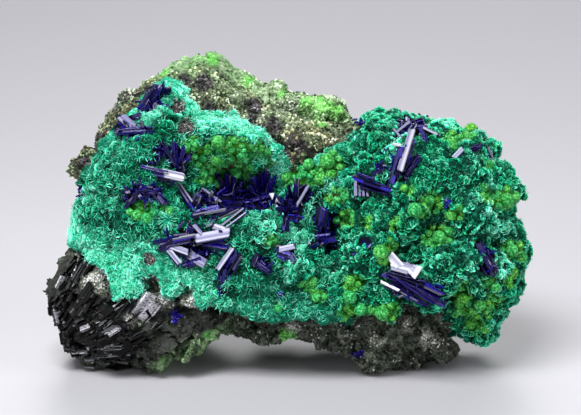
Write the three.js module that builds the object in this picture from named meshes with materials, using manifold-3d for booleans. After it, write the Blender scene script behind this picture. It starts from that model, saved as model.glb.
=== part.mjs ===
// A hand-sized arsentsumebite specimen: a broken lump of dark ore, a green druse that coats
// its front and swells into a rounded lobe at the right, and clusters of azurite blades.
// Millimetres, +Z up. The lump stands on two flat spots of its underside, at z = 0.
//
// The shapes are laid out on the display face, which leans back: "across" runs to the right,
// "up" runs up the face and "out" runs out of it, towards whoever looks at it.
import * as THREE from "three";
import { mergeVertices } from "three/addons/utils/BufferGeometryUtils.js";
import Module from "manifold-3d";

const wasm = await Module();
wasm.setup();

// ---- Driving dimensions ---------------------------------------------------------------

const LEAN = 14; // degrees that the display face leans back
const GAP = 0.3; // clearance between pieces that touch
const CRUST_THICKNESS = 3;
const CRUST_LUMPS = 1; // how far the lobe's lumps stand out past its thickness
const CRUST_BURIED = 3.5; // how deep the crust's unseen margin lies inside the rock
const FACE_CENTRE = [-4, 27]; // across, up: the point that the outlines are measured from
const SQUARENESS = 4; // 2 would give the lump a round edge, larger a squarer one
const BACK_DEPTH = -25; // how far back the lump reaches
const LOBE_BACK = -15; // how far the crust wraps round the lobe
const ROCK_DETAIL = 7; // each side of the icosahedron is cut into this many parts, plus one
const CRUST_DETAIL = 9;

const FINISHES = {
  rock: { color: 0x2b2d27, roughness: 0.75, metalness: 0.1 },
  crust: { color: 0x1f9c68, roughness: 0.7, metalness: 0 },
  azurite: { color: 0x1d1480, roughness: 0.15, metalness: 0 },
};

// ---- The outlines and the relief of the face ------------------------------------------

// The rock's edge, anticlockwise from the right: two feet with an arch between them, a
// straight left side and a top that falls to the right.
const ROCK_OUTLINE = [
  [36, 27], [36, 34], [33, 40], [28, 43.5], [20, 43.5], [13, 45.8], [10.2, 48.6], [3, 50],
  [-1.2, 51.2], [-5, 51.8], [-10.4, 55.2], [-12.4, 57.6], [-16.8, 58.6], [-21, 57],
  [-25, 54], [-28.6, 50.6], [-31.2, 47.4], [-34.2, 44], [-35.8, 41], [-38, 38.6],
  [-38.4, 36.2], [-35, 33], [-36, 26.3], [-38, 22.4], [-40.4, 18], [-43, 12], [-43.2, 8.5],
  [-40.6, 4.5], [-36.8, 0.9],
  [-32, -0.4], [-24.2, -0.4], [-18.3, 3.6], [-15.4, 4.5], [-12.2, 7.6], [-9.5, 6.9],
  [-0.6, 5.3], [2.3, 6.1], [6.8, 4.7], [10.6, 2.3], [19.5, 0.6], [23.9, -0.2], [27, 2.4],
  [29.6, 5.4], [30.6, 9], [33.5, 14], [35.6, 20],
];

// The lobe's edge, from its lower end round to its upper end. It stands out past the rock.
const LOBE_OUTLINE = [
  [30.2, 6.8], [34.3, 5.6], [37.5, 7.2], [39.7, 11.5], [43.2, 16], [43, 21.4],
  [42.9, 25.9], [41.6, 30], [42.5, 32.8], [40.6, 36.9], [38.6, 41], [36.1, 43.2],
  [31.4, 45.2], [26.9, 46.3], [20.3, 47], [16.5, 48.3], [13.9, 47],
];

// Where the green crust stops on the rock, anticlockwise from the lower right.
const CRUST_BORDER = [
  [50, 3.5], [50, 52], [14.5, 52], [13.5, 44], [10.2, 41.8], [5.7, 39.2], [3.5, 37.3],
  [0.6, 37.1], [-0.8, 39.1], [-3.5, 43], [-5.5, 43.6], [-8, 46.4], [-10.2, 47.2],
  [-15.2, 47.2], [-17.4, 50.5], [-17.7, 53.1], [-20.3, 52.9], [-23.8, 52], [-25.2, 50.4],
  [-27.2, 47.2], [-31, 43.4], [-33.8, 40.4], [-35.6, 36.4], [-38, 32], [-40, 28],
  [-39.3, 23.5], [-36.8, 22], [-32.1, 19.4], [-31.8, 15], [-30.2, 12.8], [-27.8, 13.5],
  [-25, 17], [-22.6, 16], [-21.2, 13.7], [-18.4, 16], [-16.7, 15.9], [-15.4, 12.8],
  [-10.7, 13], [-4.4, 10.6], [3.2, 11.2], [8.2, 9.4], [13, 10.6], [16.5, 8.8],
  [19.4, 9.9], [21.5, 11.5], [24.2, 10.6], [28.4, 9.9], [29.6, 7.6], [31, 5.6], [31.8, 3.5],
];

const FACE_LEVEL = 5; // how far out the plain parts of the face stand
// Rounded rises and hollows of the face: centre, half-widths and height.
const SWELLS = [
  { at: [-26, 33], reach: [13, 14], height: 3.5 }, // the left field of the crust
  { at: [-30, 11], reach: [11, 8], height: 3 }, // the bare corner of ore
  { at: [27, 27], reach: [16, 17], height: 9 }, // the lobe
  { at: [2, 13], reach: [20, 5], height: 3 }, // the apron under the pit
  { at: [-8, 33.5], reach: [11, 5], height: -8 }, // the pit
  { at: [6.5, 27.5], reach: [3.2, 5.5], height: -8 }, // the hollow beside the ridge
  { at: [-5, 26.5], reach: [5, 3.5], height: 4 }, // the mound in front of the pit
  { at: [-9, 41], reach: [8, 3.5], height: 3 }, // the bank over the pit
];
// Patches of lime-green botryoids in hollows of the druse: across, up and radius.
const BOTRYOID_PATCHES = [
  [-7.8, 37.8, 5.2], [2.1, 35.5, 3.4], [-24.9, 29.4, 1.8], [29.1, 27, 2.5], [27.6, 22, 2.4],
  [39, 33.3, 2.2], [10.2, 30.6, 2.2], [11.4, 26.4, 2], [15.6, 27, 2.2], [12.2, 13.6, 2.4],
  [16, 10.8, 2.4], [32.7, 13.5, 2.5], [32, 9.2, 2.5], [28.2, 43.6, 2.2],
];
const BOTRYOID = { radius: 1.6, spacing: 2.9, sunk: 0.4 };
// Smaller knolls and dells of the druse: across, up, radius and height.
const KNOLLS = [
  [17.4, 46.5, 3, 1.5], [15, 38.5, 5, 2.5], [25, 38.5, 4.5, 1.5], [34, 38.5, 4, 2],
  [40, 33, 3.5, 2], [19, 30.5, 4, 1.5], [32.5, 30, 4, 2], [37.5, 24.5, 4.5, 2],
  [28, 20, 4, 2.5], [13, 22, 4.5, 2.5], [35, 12.5, 4.5, 2.2], [39.5, 17, 3.5, 1.5],
  [34.5, 8, 3, 1.5], [26.5, 27.5, 3.2, -2.5], [28.3, 24, 2.5, -1.5], [20, 23, 2.5, -2],
  [15, 32.6, 4, -1.5], [-34, 37, 4, 1], [-33, 27, 5, 1.2], [-27, 40, 5, 1],
  [-24, 19, 4, 1], [-10, 17, 5, 1.2], [0, 15, 4, 1.2], [6, 14, 4, 1],
];
const RIDGE = { from: [1.5, 19], to: [9.5, 33.5], reach: 1.9, height: 4.5 };
const CREST = { start: 40, perAcross: -0.2, slope: 1.25 }; // the top falls away to the back

// The druse is lumpy, most of all on the lobe.
const LUMP_SPACING = 8.5;
const LUMP_HEIGHT = { field: 2, lobe: 4 };
const MEAN_LUMP = 0.65; // the level that the lumps rise and fall from
// The rock is rough in tilted facets and in small swells.
const FACETS = { spacing: 12, slope: 0.3 };
const ROUGHNESS = { spacing: 5, height: 0.8 };
const COVERED_ROUGHNESS = 0.2; // the share of it that the rock keeps under the crust
const COVERED_SINK = 1.2; // how much lower the rock lies there
const SEEDS = { facets: 31, roughness: 11, lumps: 5, arch: 23, botryoids: 41 };
// The flat breaks of the ore: the way each one faces (across, up, out) and its distance
// from the middle of the face. What stands out further is broken off there.
const BREAKS = [
  { facing: [-0.72, -0.3, 0.62], distance: 34 },
  { facing: [-0.25, -0.8, 0.55], distance: 27.5 },
  { facing: [0.3, -0.6, 0.74], distance: 23 },
  { facing: [-0.98, -0.2, 0], distance: 40 },
  { facing: [-0.45, 0.45, -0.77], distance: 35.5 },
  { facing: [0.2, 0.5, -0.84], distance: 29 },
  { facing: [0.08, 0.1, -0.99], distance: 23 },
  { facing: [0.1, -0.6, -0.8], distance: 27.5 },
  { facing: [-0.8, 0.05, -0.6], distance: 35 },
  { facing: [0.7, 0.2, -0.7], distance: 35 },
];
// The arch under the lump, which runs from front to back, is two rounded hollows side by side.
const ARCH = { halfLength: 70, detail: 5, rough: 0.12 };
const ARCH_HOLLOWS = [
  { across: -10.5, halfWidth: 8, height: 7.6 },
  { across: 0, halfWidth: 13.5, height: 6 },
];

// ---- Small tools ----------------------------------------------------------------------

const { clamp, degToRad, lerp, smoothstep } = THREE.MathUtils;

// A repeatable number from 0 to 1 for a cell of a grid.
function cellNumber(i, j, k, seed) {
  let h = Math.imul(i, 374761393) + Math.imul(j, 668265263) + Math.imul(k, 1103515245);
  h = Math.imul((h + Math.imul(seed, 144665)) | 0, 1274126177);
  h = Math.imul(h ^ (h >>> 13), 1274126177);
  return ((h ^ (h >>> 16)) >>> 0) / 2 ** 32;
}

// Smooth noise from -1 to 1, with features about as wide as the spacing.
function noise(p, spacing, seed) {
  const whole = [p.x, p.y, p.z].map((x) => Math.floor(x / spacing));
  const part = [p.x, p.y, p.z].map((x, n) => smoothstep(x / spacing - whole[n], 0, 1));
  let sum = 0;
  for (let corner = 0; corner < 8; corner++) {
    const step = [corner & 1, (corner >> 1) & 1, corner >> 2];
    const weight = step.reduce((w, s, n) => w * (s ? part[n] : 1 - part[n]), 1);
    sum += weight * cellNumber(...whole.map((c, n) => c + step[n]), seed);
  }
  return 2 * sum - 1;
}

// The nearest of a cloud of scattered points, one to a cell, and the cell that it is in.
function nearestSeed(p, spacing, seed) {
  const here = [p.x, p.y, p.z].map((x) => Math.floor(x / spacing));
  let nearest = { distance: Infinity };
  for (let n = 0; n < 27; n++) {
    const cell = here.map((c, axis) => c + (Math.floor(n / 3 ** axis) % 3) - 1);
    const place = cell.map((c, axis) => spacing * (c + cellNumber(...cell, seed + axis)));
    const distance = p.distanceTo(new THREE.Vector3(...place));
    if (distance < nearest.distance) nearest = { distance, cell, place };
  }
  return nearest;
}

// Rounded lumps: 1 on top of a lump, falling to 0 in the deepest seams.
const lumps = (p, spacing, seed) =>
  Math.max(0, 1 - (nearestSeed(p, spacing, seed).distance / (0.9 * spacing)) ** 2);

// Flat facets, each with a tilt of its own.
function facets(p, { spacing, slope }, seed) {
  const { cell, place } = nearestSeed(p, spacing, seed);
  const tilt = [3, 4, 5].map((n) => 2 * cellNumber(...cell, seed + n) - 1);
  return slope * new THREE.Vector3(...tilt).dot(p.clone().sub(new THREE.Vector3(...place)));
}

// How far the point lies inside a closed outline. It is negative outside.
function depthInside(outline, a, b) {
  let nearest = Infinity;
  let inside = false;
  outline.forEach(([ax, ay], n) => {
    const [bx, by] = outline[(n + 1) % outline.length];
    const along = ((a - ax) * (bx - ax) + (b - ay) * (by - ay)) / ((bx - ax) ** 2 + (by - ay) ** 2);
    const t = clamp(along, 0, 1);
    nearest = Math.min(nearest, Math.hypot(a - lerp(ax, bx, t), b - lerp(ay, by, t)));
    if (ay > b !== by > b && a < ax + ((b - ay) / (by - ay)) * (bx - ax)) inside = !inside;
  });
  return inside ? nearest : -nearest;
}

// The outline's radius from the face centre, as a function of direction.
function radiusOf(outline) {
  const polar = outline
    .map(([a, b]) => [a - FACE_CENTRE[0], b - FACE_CENTRE[1]])
    .map(([a, b]) => ({ turn: Math.atan2(b, a), radius: Math.hypot(a, b) }))
    .sort((p, q) => p.turn - q.turn);
  return (turn) => {
    const next = polar.findIndex((p) => p.turn > turn);
    const above = polar[next < 0 ? 0 : next];
    const below = polar[next < 0 ? polar.length - 1 : (next || polar.length) - 1];
    const full = 2 * Math.PI;
    const span = (above.turn - below.turn + full) % full;
    return lerp(below.radius, above.radius, ((turn - below.turn + full) % full) / span);
  };
}

const turnOf = ([a, b]) => Math.atan2(b - FACE_CENTRE[1], a - FACE_CENTRE[0]);
const rockRadius = radiusOf(ROCK_OUTLINE);
const lobeRadius = radiusOf(LOBE_OUTLINE);

// The surface that the crust grows from: the rock's, pushed out behind the lobe.
function crustRadius(turn) {
  const onLobe = turn > turnOf(LOBE_OUTLINE[0]) && turn < turnOf(LOBE_OUTLINE.at(-1));
  const rock = rockRadius(turn);
  return onLobe ? Math.max(rock, lobeRadius(turn) - CRUST_THICKNESS - CRUST_LUMPS) : rock;
}

// ---- The rock and the crust, as pillows on the display face -----------------------------

// The depth of the edge: the underside's edge is in front and the crest's is at the back.
const edgeDepth = (b) => 2 - 0.4 * b;

// How far out the face stands at a point of it.
function relief(a, b) {
  let out = FACE_LEVEL;
  for (const { at, reach, height } of SWELLS)
    out += height * Math.exp(-(((a - at[0]) / reach[0]) ** 2) - ((b - at[1]) / reach[1]) ** 2);
  const [ax, ay] = RIDGE.from;
  const [bx, by] = RIDGE.to;
  const along = ((a - ax) * (bx - ax) + (b - ay) * (by - ay)) / ((bx - ax) ** 2 + (by - ay) ** 2);
  const t = clamp(along, 0, 1);
  const off = Math.hypot(a - lerp(ax, bx, t), b - lerp(ay, by, t)) / RIDGE.reach;
  out += RIDGE.height * Math.exp(-(off ** 2));
  for (const [ka, kb, radius, height] of KNOLLS)
    out += height * Math.exp(-(((a - ka) ** 2 + (b - kb) ** 2) / radius ** 2));
  const past = Math.max(0, b - CREST.start - CREST.perAcross * a);
  return out - CREST.slope * past * (1 - smoothstep(a, 8, 16));
}

// Breaks off what stands out past the flat breaks of the ore.
function broken(p) {
  const middle = new THREE.Vector3(FACE_CENTRE[0], FACE_CENTRE[1], 0);
  const arm = p.clone().sub(middle);
  for (const { facing, distance } of BREAKS) {
    const reach = new THREE.Vector3(...facing).normalize().dot(arm);
    if (reach > distance) arm.multiplyScalar(distance / reach);
  }
  return arm.add(middle);
}

// A point of a pillow: a direction on the unit sphere becomes a place on the face, and the
// face's relief in front or its plain depth behind.
function pillowPoint(d, radiusAt) {
  const flat = Math.hypot(d.x, d.y);
  const whole = (flat ** SQUARENESS + Math.abs(d.z) ** SQUARENESS) ** (1 / SQUARENESS);
  const turn = Math.atan2(d.y, d.x);
  const radius = (radiusAt(turn) * flat) / whole;
  const a = FACE_CENTRE[0] + radius * Math.cos(turn);
  const b = FACE_CENTRE[1] + radius * Math.sin(turn);
  const limit = d.z > 0 ? relief(a, b) : BACK_DEPTH;
  return broken(new THREE.Vector3(a, b, lerp(edgeDepth(b), limit, Math.abs(d.z) / whole)));
}

// An indexed ball of evenly sized triangles, shaped by a function of direction.
function shapedBall(detail, shape) {
  const ball = new THREE.IcosahedronGeometry(1, detail);
  ball.deleteAttribute("normal");
  ball.deleteAttribute("uv");
  const geometry = mergeVertices(ball, 1e-5);
  const place = geometry.attributes.position;
  for (let n = 0; n < place.count; n++) {
    const p = shape(new THREE.Vector3().fromBufferAttribute(place, n).normalize());
    place.setXYZ(n, p.x, p.y, p.z);
  }
  return geometry;
}

// A point of the rock's surface, or of the room that the rock needs.
function rockPoint(d, room) {
  const p = pillowPoint(d, rockRadius);
  const swell = ROUGHNESS.height * noise(p, ROUGHNESS.spacing, SEEDS.roughness);
  const rough = facets(p, FACETS, SEEDS.facets) + swell;
  const covered = smoothstep(crustExtent(p), -2, 1);
  const height = rough * lerp(1, COVERED_ROUGHNESS, covered) - COVERED_SINK * covered;
  return p.addScaledVector(d, height + room);
}

// A point of one of the arch's hollows, in the standing specimen's own directions.
function archPoint(d, { across, halfWidth, height }) {
  const p = new THREE.Vector3(d.x * halfWidth, d.y * ARCH.halfLength, d.z * height);
  p.multiplyScalar(1 + ARCH.rough * noise(p, ROUGHNESS.spacing, SEEDS.arch));
  return p.setX(p.x + across);
}

// How far a point lies inside the crust's extent: within its border on the face, and in
// front of its hidden limit at the back.
function crustExtent(p) {
  const limit = lerp(edgeDepth(p.y) - 1, LOBE_BACK, smoothstep(p.x, 10, 20));
  return Math.min(depthInside(CRUST_BORDER, p.x, p.y), p.z - limit);
}

function crustThickness(p) {
  const extent = crustExtent(p);
  const height = lerp(LUMP_HEIGHT.field, LUMP_HEIGHT.lobe, smoothstep(p.x, 2, 14));
  const lump = height * (lumps(p, LUMP_SPACING, SEEDS.lumps) - MEAN_LUMP) * smoothstep(extent, 0, 2);
  return lerp(-CRUST_BURIED, CRUST_THICKNESS, smoothstep(extent, -1.5, 1.5)) + lump;
}

// A point of the crust's surface, or of the room that the crust needs.
function crustPoint(d, room) {
  const p = pillowPoint(d, crustRadius);
  return p.addScaledVector(d, crustThickness(p) + room);
}

// The crust's surface at a place on the face. The crust grows along d, so a few steps look for
// the place underneath that grows out to the one asked for.
function crustSurface(a, b) {
  let base = [a, b];
  let p = null;
  for (let step = 0; step < 12; step++) {
    const turn = turnOf(base);
    const share = Math.hypot(base[0] - FACE_CENTRE[0], base[1] - FACE_CENTRE[1]) / crustRadius(turn);
    const flat = Math.min(share, 0.999);
    const rise = (1 - flat ** SQUARENESS) ** (1 / SQUARENESS);
    const d = new THREE.Vector3(flat * Math.cos(turn), flat * Math.sin(turn), rise).normalize();
    p = crustPoint(d, 0);
    base = [base[0] + (a - p.x) / 2, base[1] + (b - p.y) / 2];
  }
  return p;
}

// ---- The azurite clusters ---------------------------------------------------------------

// Each blade: across, up, turn on the face, rise out of it, roll about its own length (all
// in degrees), length, width, thickness, and how far its middle stands above the crust.
// The roots are knots under the druse that the blades grow from: across, up and radius.
const CLUSTERS = {
  azurite_summit: {
    roots: [[-24.6, 49.6, 2.0]],
    blades: [
      [-25.1, 49.3, 57, 12, 25, 5.8, 1.6, 0.8, 0.4],
      [-24.0, 50.2, 62, 20, -20, 4.6, 1.3, 0.7, 0.6],
      [-22.9, 51.3, 8, 15, 40, 3.6, 1.1, 0.6, 0.5],
      [-25.9, 50.4, 100, 25, 10, 2.6, 1.0, 0.6, 0.5],
    ],
  },
  azurite_shoulder: {
    roots: [[-28.8, 44.4, 1.9]],
    blades: [
      [-27.3, 43.9, 4, 8, -50, 6.4, 1.4, 0.7, 0.5],
      [-28.8, 45.4, -45, 18, 15, 3.6, 1.6, 0.6, 0.7],
      [-31.0, 44.0, 30, 12, 20, 2.6, 1.2, 0.6, 0.3],
      [-28.0, 46.4, 20, 20, -10, 3.4, 1.0, 0.6, 0.3],
      [-29.6, 43.6, -20, 30, 30, 2.8, 1.0, 0.5, 0.5],
    ],
  },
  azurite_arch: {
    roots: [[-25.7, 32.8, 1.6]],
    blades: [
      [-27.8, 31.8, 50, 12, 10, 5.0, 1.5, 0.8, 0.5],
      [-25.6, 33.4, 2, 10, 20, 4.2, 1.4, 0.8, 0.6],
      [-23.5, 32.2, -55, 14, -15, 4.2, 1.4, 0.8, 0.5],
      [-28.4, 33.2, -60, 20, 20, 2.4, 1.0, 0.6, 0.4],
    ],
  },
  azurite_bar: {
    roots: [[-21.4, 36.0, 1.8]],
    blades: [
      [-22.2, 36.2, -17, 6, 12, 7.6, 1.6, 0.8, 0.7],
      [-24.3, 36.9, -14, 10, -35, 4.2, 1.0, 0.7, 0.3],
      [-20.6, 35.2, 60, 25, 0, 2.4, 0.9, 0.5, 0.4],
    ],
  },
  azurite_spray: {
    roots: [[-20.2, 37.9, 1.6]],
    blades: [
      [-21.2, 39.4, 118, 25, 10, 4.6, 0.8, 0.4, 0.2],
      [-20.4, 39.7, 95, 30, -20, 5.0, 0.9, 0.5, 0.4],
      [-19.3, 39.3, 70, 28, 30, 4.4, 0.8, 0.4, 0.4],
      [-18.7, 38.4, 42, 20, 0, 3.8, 0.7, 0.4, 0.3],
    ],
  },
  azurite_pit_bank: {
    roots: [[-14.6, 30, 2.5], [-10.2, 28.8, 1.5]],
    blades: [
      [-15.6, 29.3, 14, 10, -30, 7.0, 1.5, 0.8, 0.4],
      [-14.6, 30.6, -12, 16, 30, 6.0, 1.3, 0.8, 0.5],
      [-12.8, 28.6, 24, 8, 15, 6.5, 1.3, 0.7, 0.2],
      [-11.0, 29.8, 3, 20, -50, 5.0, 1.2, 0.7, 0.8],
    ],
  },
  azurite_pit_fan: {
    roots: [[-10.9, 32.2, 1.8]],
    blades: [
      [-11.9, 33.9, 112, 30, 15, 4.4, 0.9, 0.5, 0.9],
      [-11.0, 34.2, 94, 34, -10, 4.8, 1.0, 0.5, 1.1],
      [-10.2, 33.9, 78, 30, 25, 4.4, 0.9, 0.5, 1.0],
      [-9.3, 33.3, 55, 26, -25, 3.8, 0.8, 0.5, 0.7],
    ],
  },
  azurite_pit_crown: {
    roots: [[-4.4, 31.9, 1.8]],
    blades: [
      [-5.8, 33.6, 112, 28, 20, 5.0, 1.0, 0.5, 0.9],
      [-4.9, 34.1, 96, 32, -8, 5.6, 1.2, 0.6, 1.2],
      [-4.0, 34.2, 84, 33, 6, 5.6, 1.1, 0.6, 1.3],
      [-3.1, 33.8, 70, 30, 25, 5.0, 0.8, 0.5, 1.0],
      [-2.3, 31.3, -62, 22, 10, 3.4, 0.9, 0.5, 0.9],
      [-6.0, 31.4, 14, 12, 40, 5.4, 1.1, 0.7, 0.3],
    ],
  },
  azurite_pit_end: {
    roots: [[1.0, 30.7, 1.6]],
    blades: [
      [0.3, 32.3, 100, 30, 10, 4.2, 0.9, 0.5, 0.7],
      [1.2, 32.5, 86, 30, -15, 4.4, 0.9, 0.5, 0.9],
      [2.5, 32.2, 64, 24, 20, 4.6, 0.5, 0.4, 0.8],
    ],
  },
  azurite_rosette: {
    roots: [[-0.4, 28.4, 1.6]],
    blades: [
      [-1.2, 29.3, 130, 35, 0, 2.8, 1.2, 0.5, 0.6],
      [0.2, 29.5, 62, 35, 20, 2.8, 1.2, 0.5, 0.6],
      [0.7, 28.1, -12, 35, -20, 2.8, 1.2, 0.5, 0.6],
      [-0.6, 27.2, -95, 35, 10, 2.8, 1.2, 0.5, 0.6],
    ],
  },
  azurite_main_group: {
    roots: [[-17.0, 23.6, 2.7]],
    blades: [
      [-13.6, 25.0, 9, 4, 10, 6.4, 1.9, 0.9, 0.9],
      [-12.2, 26.4, -24, 8, 16, 2.6, 1.2, 0.5, 0.9],
      [-20.2, 24.0, 10, 8, -28, 5.6, 1.9, 0.8, 0.6],
      [-21.8, 23.4, 38, 10, 20, 3.2, 1.1, 0.6, 0.4],
      [-19.6, 22.6, -25, 8, 18, 3.8, 1.2, 0.6, 0.7],
      [-20.2, 21.4, -52, 8, 10, 3.6, 1.0, 0.5, 0.6],
      [-16.3, 21.0, -35, 6, 10, 3.4, 1.7, 0.6, 0.7],
      [-17.8, 25.4, 80, 25, -20, 3.4, 1.2, 0.7, 0.4],
      [-13.0, 23.2, -8, 10, -40, 4.6, 1.6, 0.9, 0.3],
    ],
  },
  azurite_pair: {
    roots: [[-10.8, 19.6, 1.6]],
    blades: [
      [-11.3, 21.0, 60, 8, 12, 4.6, 0.8, 0.5, 0.9],
      [-10.0, 20.3, 58, 12, -40, 4.4, 1.3, 0.7, 0.4],
      [-11.6, 17.8, 82, 10, 30, 3.0, 1.0, 0.6, 0.3],
    ],
  },
  azurite_small_group: {
    roots: [[-4.8, 20.0, 1.4]],
    blades: [
      [-4.9, 19.8, -35, 12, 20, 3.8, 1.1, 0.5, 0.5],
      [-5.9, 20.8, 70, 20, -10, 2.4, 1.2, 0.6, 0.4],
      [-3.6, 19.6, 40, 18, 0, 2.4, 0.7, 0.4, 0.5],
    ],
  },
  azurite_mound_foot: {
    roots: [[-0.7, 21.9, 1.6]],
    blades: [
      [-1.0, 21.9, -20, 15, 30, 3.4, 1.5, 0.6, 0.6],
      [-0.3, 22.9, 12, 22, -20, 2.8, 1.1, 0.5, 0.6],
      [0.4, 21.3, -60, 20, 10, 2.6, 1.0, 0.5, 0.5],
    ],
  },
  azurite_hollow: {
    roots: [[6.3, 26.4, 2]],
    blades: [
      [5.8, 27.4, 78, 18, -30, 5.8, 1.6, 0.8, 1.2],
      [6.9, 26.6, 96, 22, 30, 4.8, 1.4, 0.7, 1.2],
    ],
  },
  azurite_twigs: {
    roots: [[21.2, 44.0, 1.9], [24.0, 43.8, 1.8]],
    blades: [
      [20.6, 44.6, 42, 10, 12, 3.2, 0.7, 0.5, 0.7],
      [22.6, 45.2, 18, 10, 20, 3.6, 0.7, 0.5, 0.7],
      [23.2, 44.4, 10, 14, 0, 3.2, 0.7, 0.5, 0.7],
      [25.2, 43.9, -30, 6, 14, 3.6, 0.8, 0.5, 0.7],
    ],
  },
  azurite_sword: {
    roots: [[20.6, 37.6, 2.0]],
    blades: [
      [21.0, 40.2, 80, 2, 10, 8.2, 1.5, 0.8, 1.3],
      [19.3, 37.6, 76, 4, -60, 6.8, 1.7, 0.8, 0.5],
      [22.0, 37.6, 56, 6, 55, 4.6, 1.6, 0.7, 0.5],
    ],
  },
  azurite_beam: {
    roots: [[14.6, 34.0, 1.6]],
    blades: [
      [15.4, 34.3, -18, 4, -58, 8.2, 1.6, 0.9, 0.8],
      [12.8, 33.5, -84, 10, 12, 2.9, 2.0, 0.5, 0.5],
    ],
  },
  azurite_sheaf: {
    roots: [[22.0, 16.2, 2.2]],
    blades: [
      [20.6, 19.3, -22, 4, 10, 5.6, 2.9, 0.8, 1.1],
      [20.8, 17.5, -18, 4, -50, 6.6, 1.5, 0.8, 0.5],
      [22.2, 15.8, -31, 5, 25, 9.6, 0.8, 0.6, 0.8],
      [23.0, 15.3, -32, 5, -20, 9.6, 0.8, 0.6, 0.9],
      [23.9, 15.2, -29, 6, 15, 9.0, 0.9, 0.6, 0.8],
      [24.6, 16.2, -27, 4, -35, 6.8, 0.9, 0.6, 0.5],
      [21.4, 14.6, -30, 4, 5, 8.0, 0.8, 0.5, 0.5],
    ],
  },
  azurite_right: {
    roots: [[35.0, 20.6, 1.5]],
    blades: [
      [34.7, 21.4, -62, 8, -30, 5.4, 1.6, 0.8, 0.5],
      [35.7, 19.9, -70, 10, 25, 4.2, 1.2, 0.7, 0.6],
      [34.4, 22.8, -30, 20, 0, 2.4, 1.0, 0.5, 0.4],
    ],
  },
  azurite_brow: { roots: [[36, 40, 1.6]], blades: [[36.4, 39.9, -70, 8, 20, 3.6, 1.2, 0.6, 0.6]] },
  azurite_chip: { roots: [[30.2, 39.5, 1.2]], blades: [[30.3, 39.8, 50, 8, 8, 2.4, 0.9, 0.5, 0.6]] },
  azurite_edge: { roots: [[-36.6, 34.6, 1.2]], blades: [[-36.9, 34.2, 62, 5, 20, 3.8, 1.3, 0.6, 0.4]] },
};

const OUTWARD = new THREE.Vector3(0, 0, 1);
const ROOT_DEPTH = 0.3; // how far a root's middle lies under the crust's surface
const BLADE_CLEARANCE = 0.4; // how much higher still the blades lie, to clear the druse
const END_SLANT = 0.35; // the oblique ends of a blade, as rise over width
// The corners of a blade's cross-section, as shares of its half-width and half-thickness.
const BROAD = 1.45;
const BROAD_SECTION = [[1, 0], [0.72, 1], [-0.72, 1], [-1, 0], [-0.72, -1], [0.72, -1]];
const NARROW_SECTION = [[1, 1], [-1, 1], [-1, -1], [1, -1]];

// A blade grows the given gap on every side when it stands for the room that it needs.
function bladeGeometry([a, b, turn, rise, roll, length, width, thickness, lift], room) {
  const half = width / 2 + room;
  const thick = thickness / 2 + room;
  const corners = width < BROAD ? NARROW_SECTION : BROAD_SECTION;
  const section = new THREE.Shape(corners.map(([x, y]) => new THREE.Vector2(x * half, y * thick)));
  const depth = length + 2 * room;
  const blade = new THREE.ExtrudeGeometry(section, { depth, steps: 1, bevelEnabled: false });
  blade.translate(0, 0, -depth / 2);
  const place = blade.attributes.position;
  for (let n = 0; n < place.count; n++)
    place.setZ(n, place.getZ(n) + END_SLANT * place.getX(n) * Math.sign(place.getZ(n)));

  const along = new THREE.Vector3(1, 0, 0)
    .applyAxisAngle(new THREE.Vector3(0, 1, 0), -degToRad(rise))
    .applyAxisAngle(new THREE.Vector3(0, 0, 1), degToRad(turn));
  const facing = OUTWARD.clone();
  facing.addScaledVector(along, -facing.dot(along)).normalize();
  facing.applyAxisAngle(along, degToRad(roll));
  const side = new THREE.Vector3().crossVectors(facing, along);
  const turned = new THREE.Matrix4().makeBasis(side, facing, along);
  turned.setPosition(crustSurface(a, b).addScaledVector(OUTWARD, lift + BLADE_CLEARANCE));
  return blade.applyMatrix4(turned);
}

// The balls of a patch, in rows that are set off by half a step.
function botryoids([a, b, radius], room) {
  const balls = [];
  const steps = Math.ceil(radius / BOTRYOID.spacing);
  for (let row = -steps; row <= steps; row++)
    for (let n = -steps; n <= steps; n++) {
      const across = (n + (row % 2) / 2) * BOTRYOID.spacing;
      const up = row * BOTRYOID.spacing * Math.sin(Math.PI / 3);
      if (Math.hypot(across, up) > radius) continue;
      const size = BOTRYOID.radius * lerp(0.8, 1.15, cellNumber(row, n, Math.round(a), SEEDS.botryoids));
      const ball = new THREE.IcosahedronGeometry(size + room, 0);
      const place = crustSurface(a + across, b + up).addScaledVector(OUTWARD, -BOTRYOID.sunk);
      balls.push(ball.rotateZ(across + up).translate(...place));
    }
  return balls;
}

function rootGeometry([a, b, radius], room) {
  const root = new THREE.IcosahedronGeometry(radius + room, 0);
  return root.translate(...crustSurface(a, b).addScaledVector(OUTWARD, -ROOT_DEPTH));
}

// ---- Solids ------------------------------------------------------------------------------

const STANDING = new THREE.Matrix4().makeRotationX(degToRad(90 - LEAN));

// A closed geometry, laid out on the face, as a solid of the leaning specimen.
function solidOf(geometry) {
  const bare = geometry.clone().applyMatrix4(STANDING);
  for (const name of ["normal", "uv"]) bare.deleteAttribute(name);
  const merged = mergeVertices(bare, 1e-4);
  const vertProperties = merged.attributes.position.array;
  const triVerts = new Uint32Array(merged.index.array);
  return new wasm.Manifold(new wasm.Mesh({ numProp: 3, vertProperties, triVerts }));
}

const joined = (solids) => solids.reduce((whole, part) => whole.add(part));
const largest = (solid) => solid.decompose().reduce((a, b) => (b.volume() > a.volume() ? b : a));

function crustSolid(room) {
  const druse = solidOf(shapedBall(CRUST_DETAIL, (d) => crustPoint(d, room)));
  return druse.add(joined(BOTRYOID_PATCHES.flatMap((p) => botryoids(p, room)).map(solidOf)));
}

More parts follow.
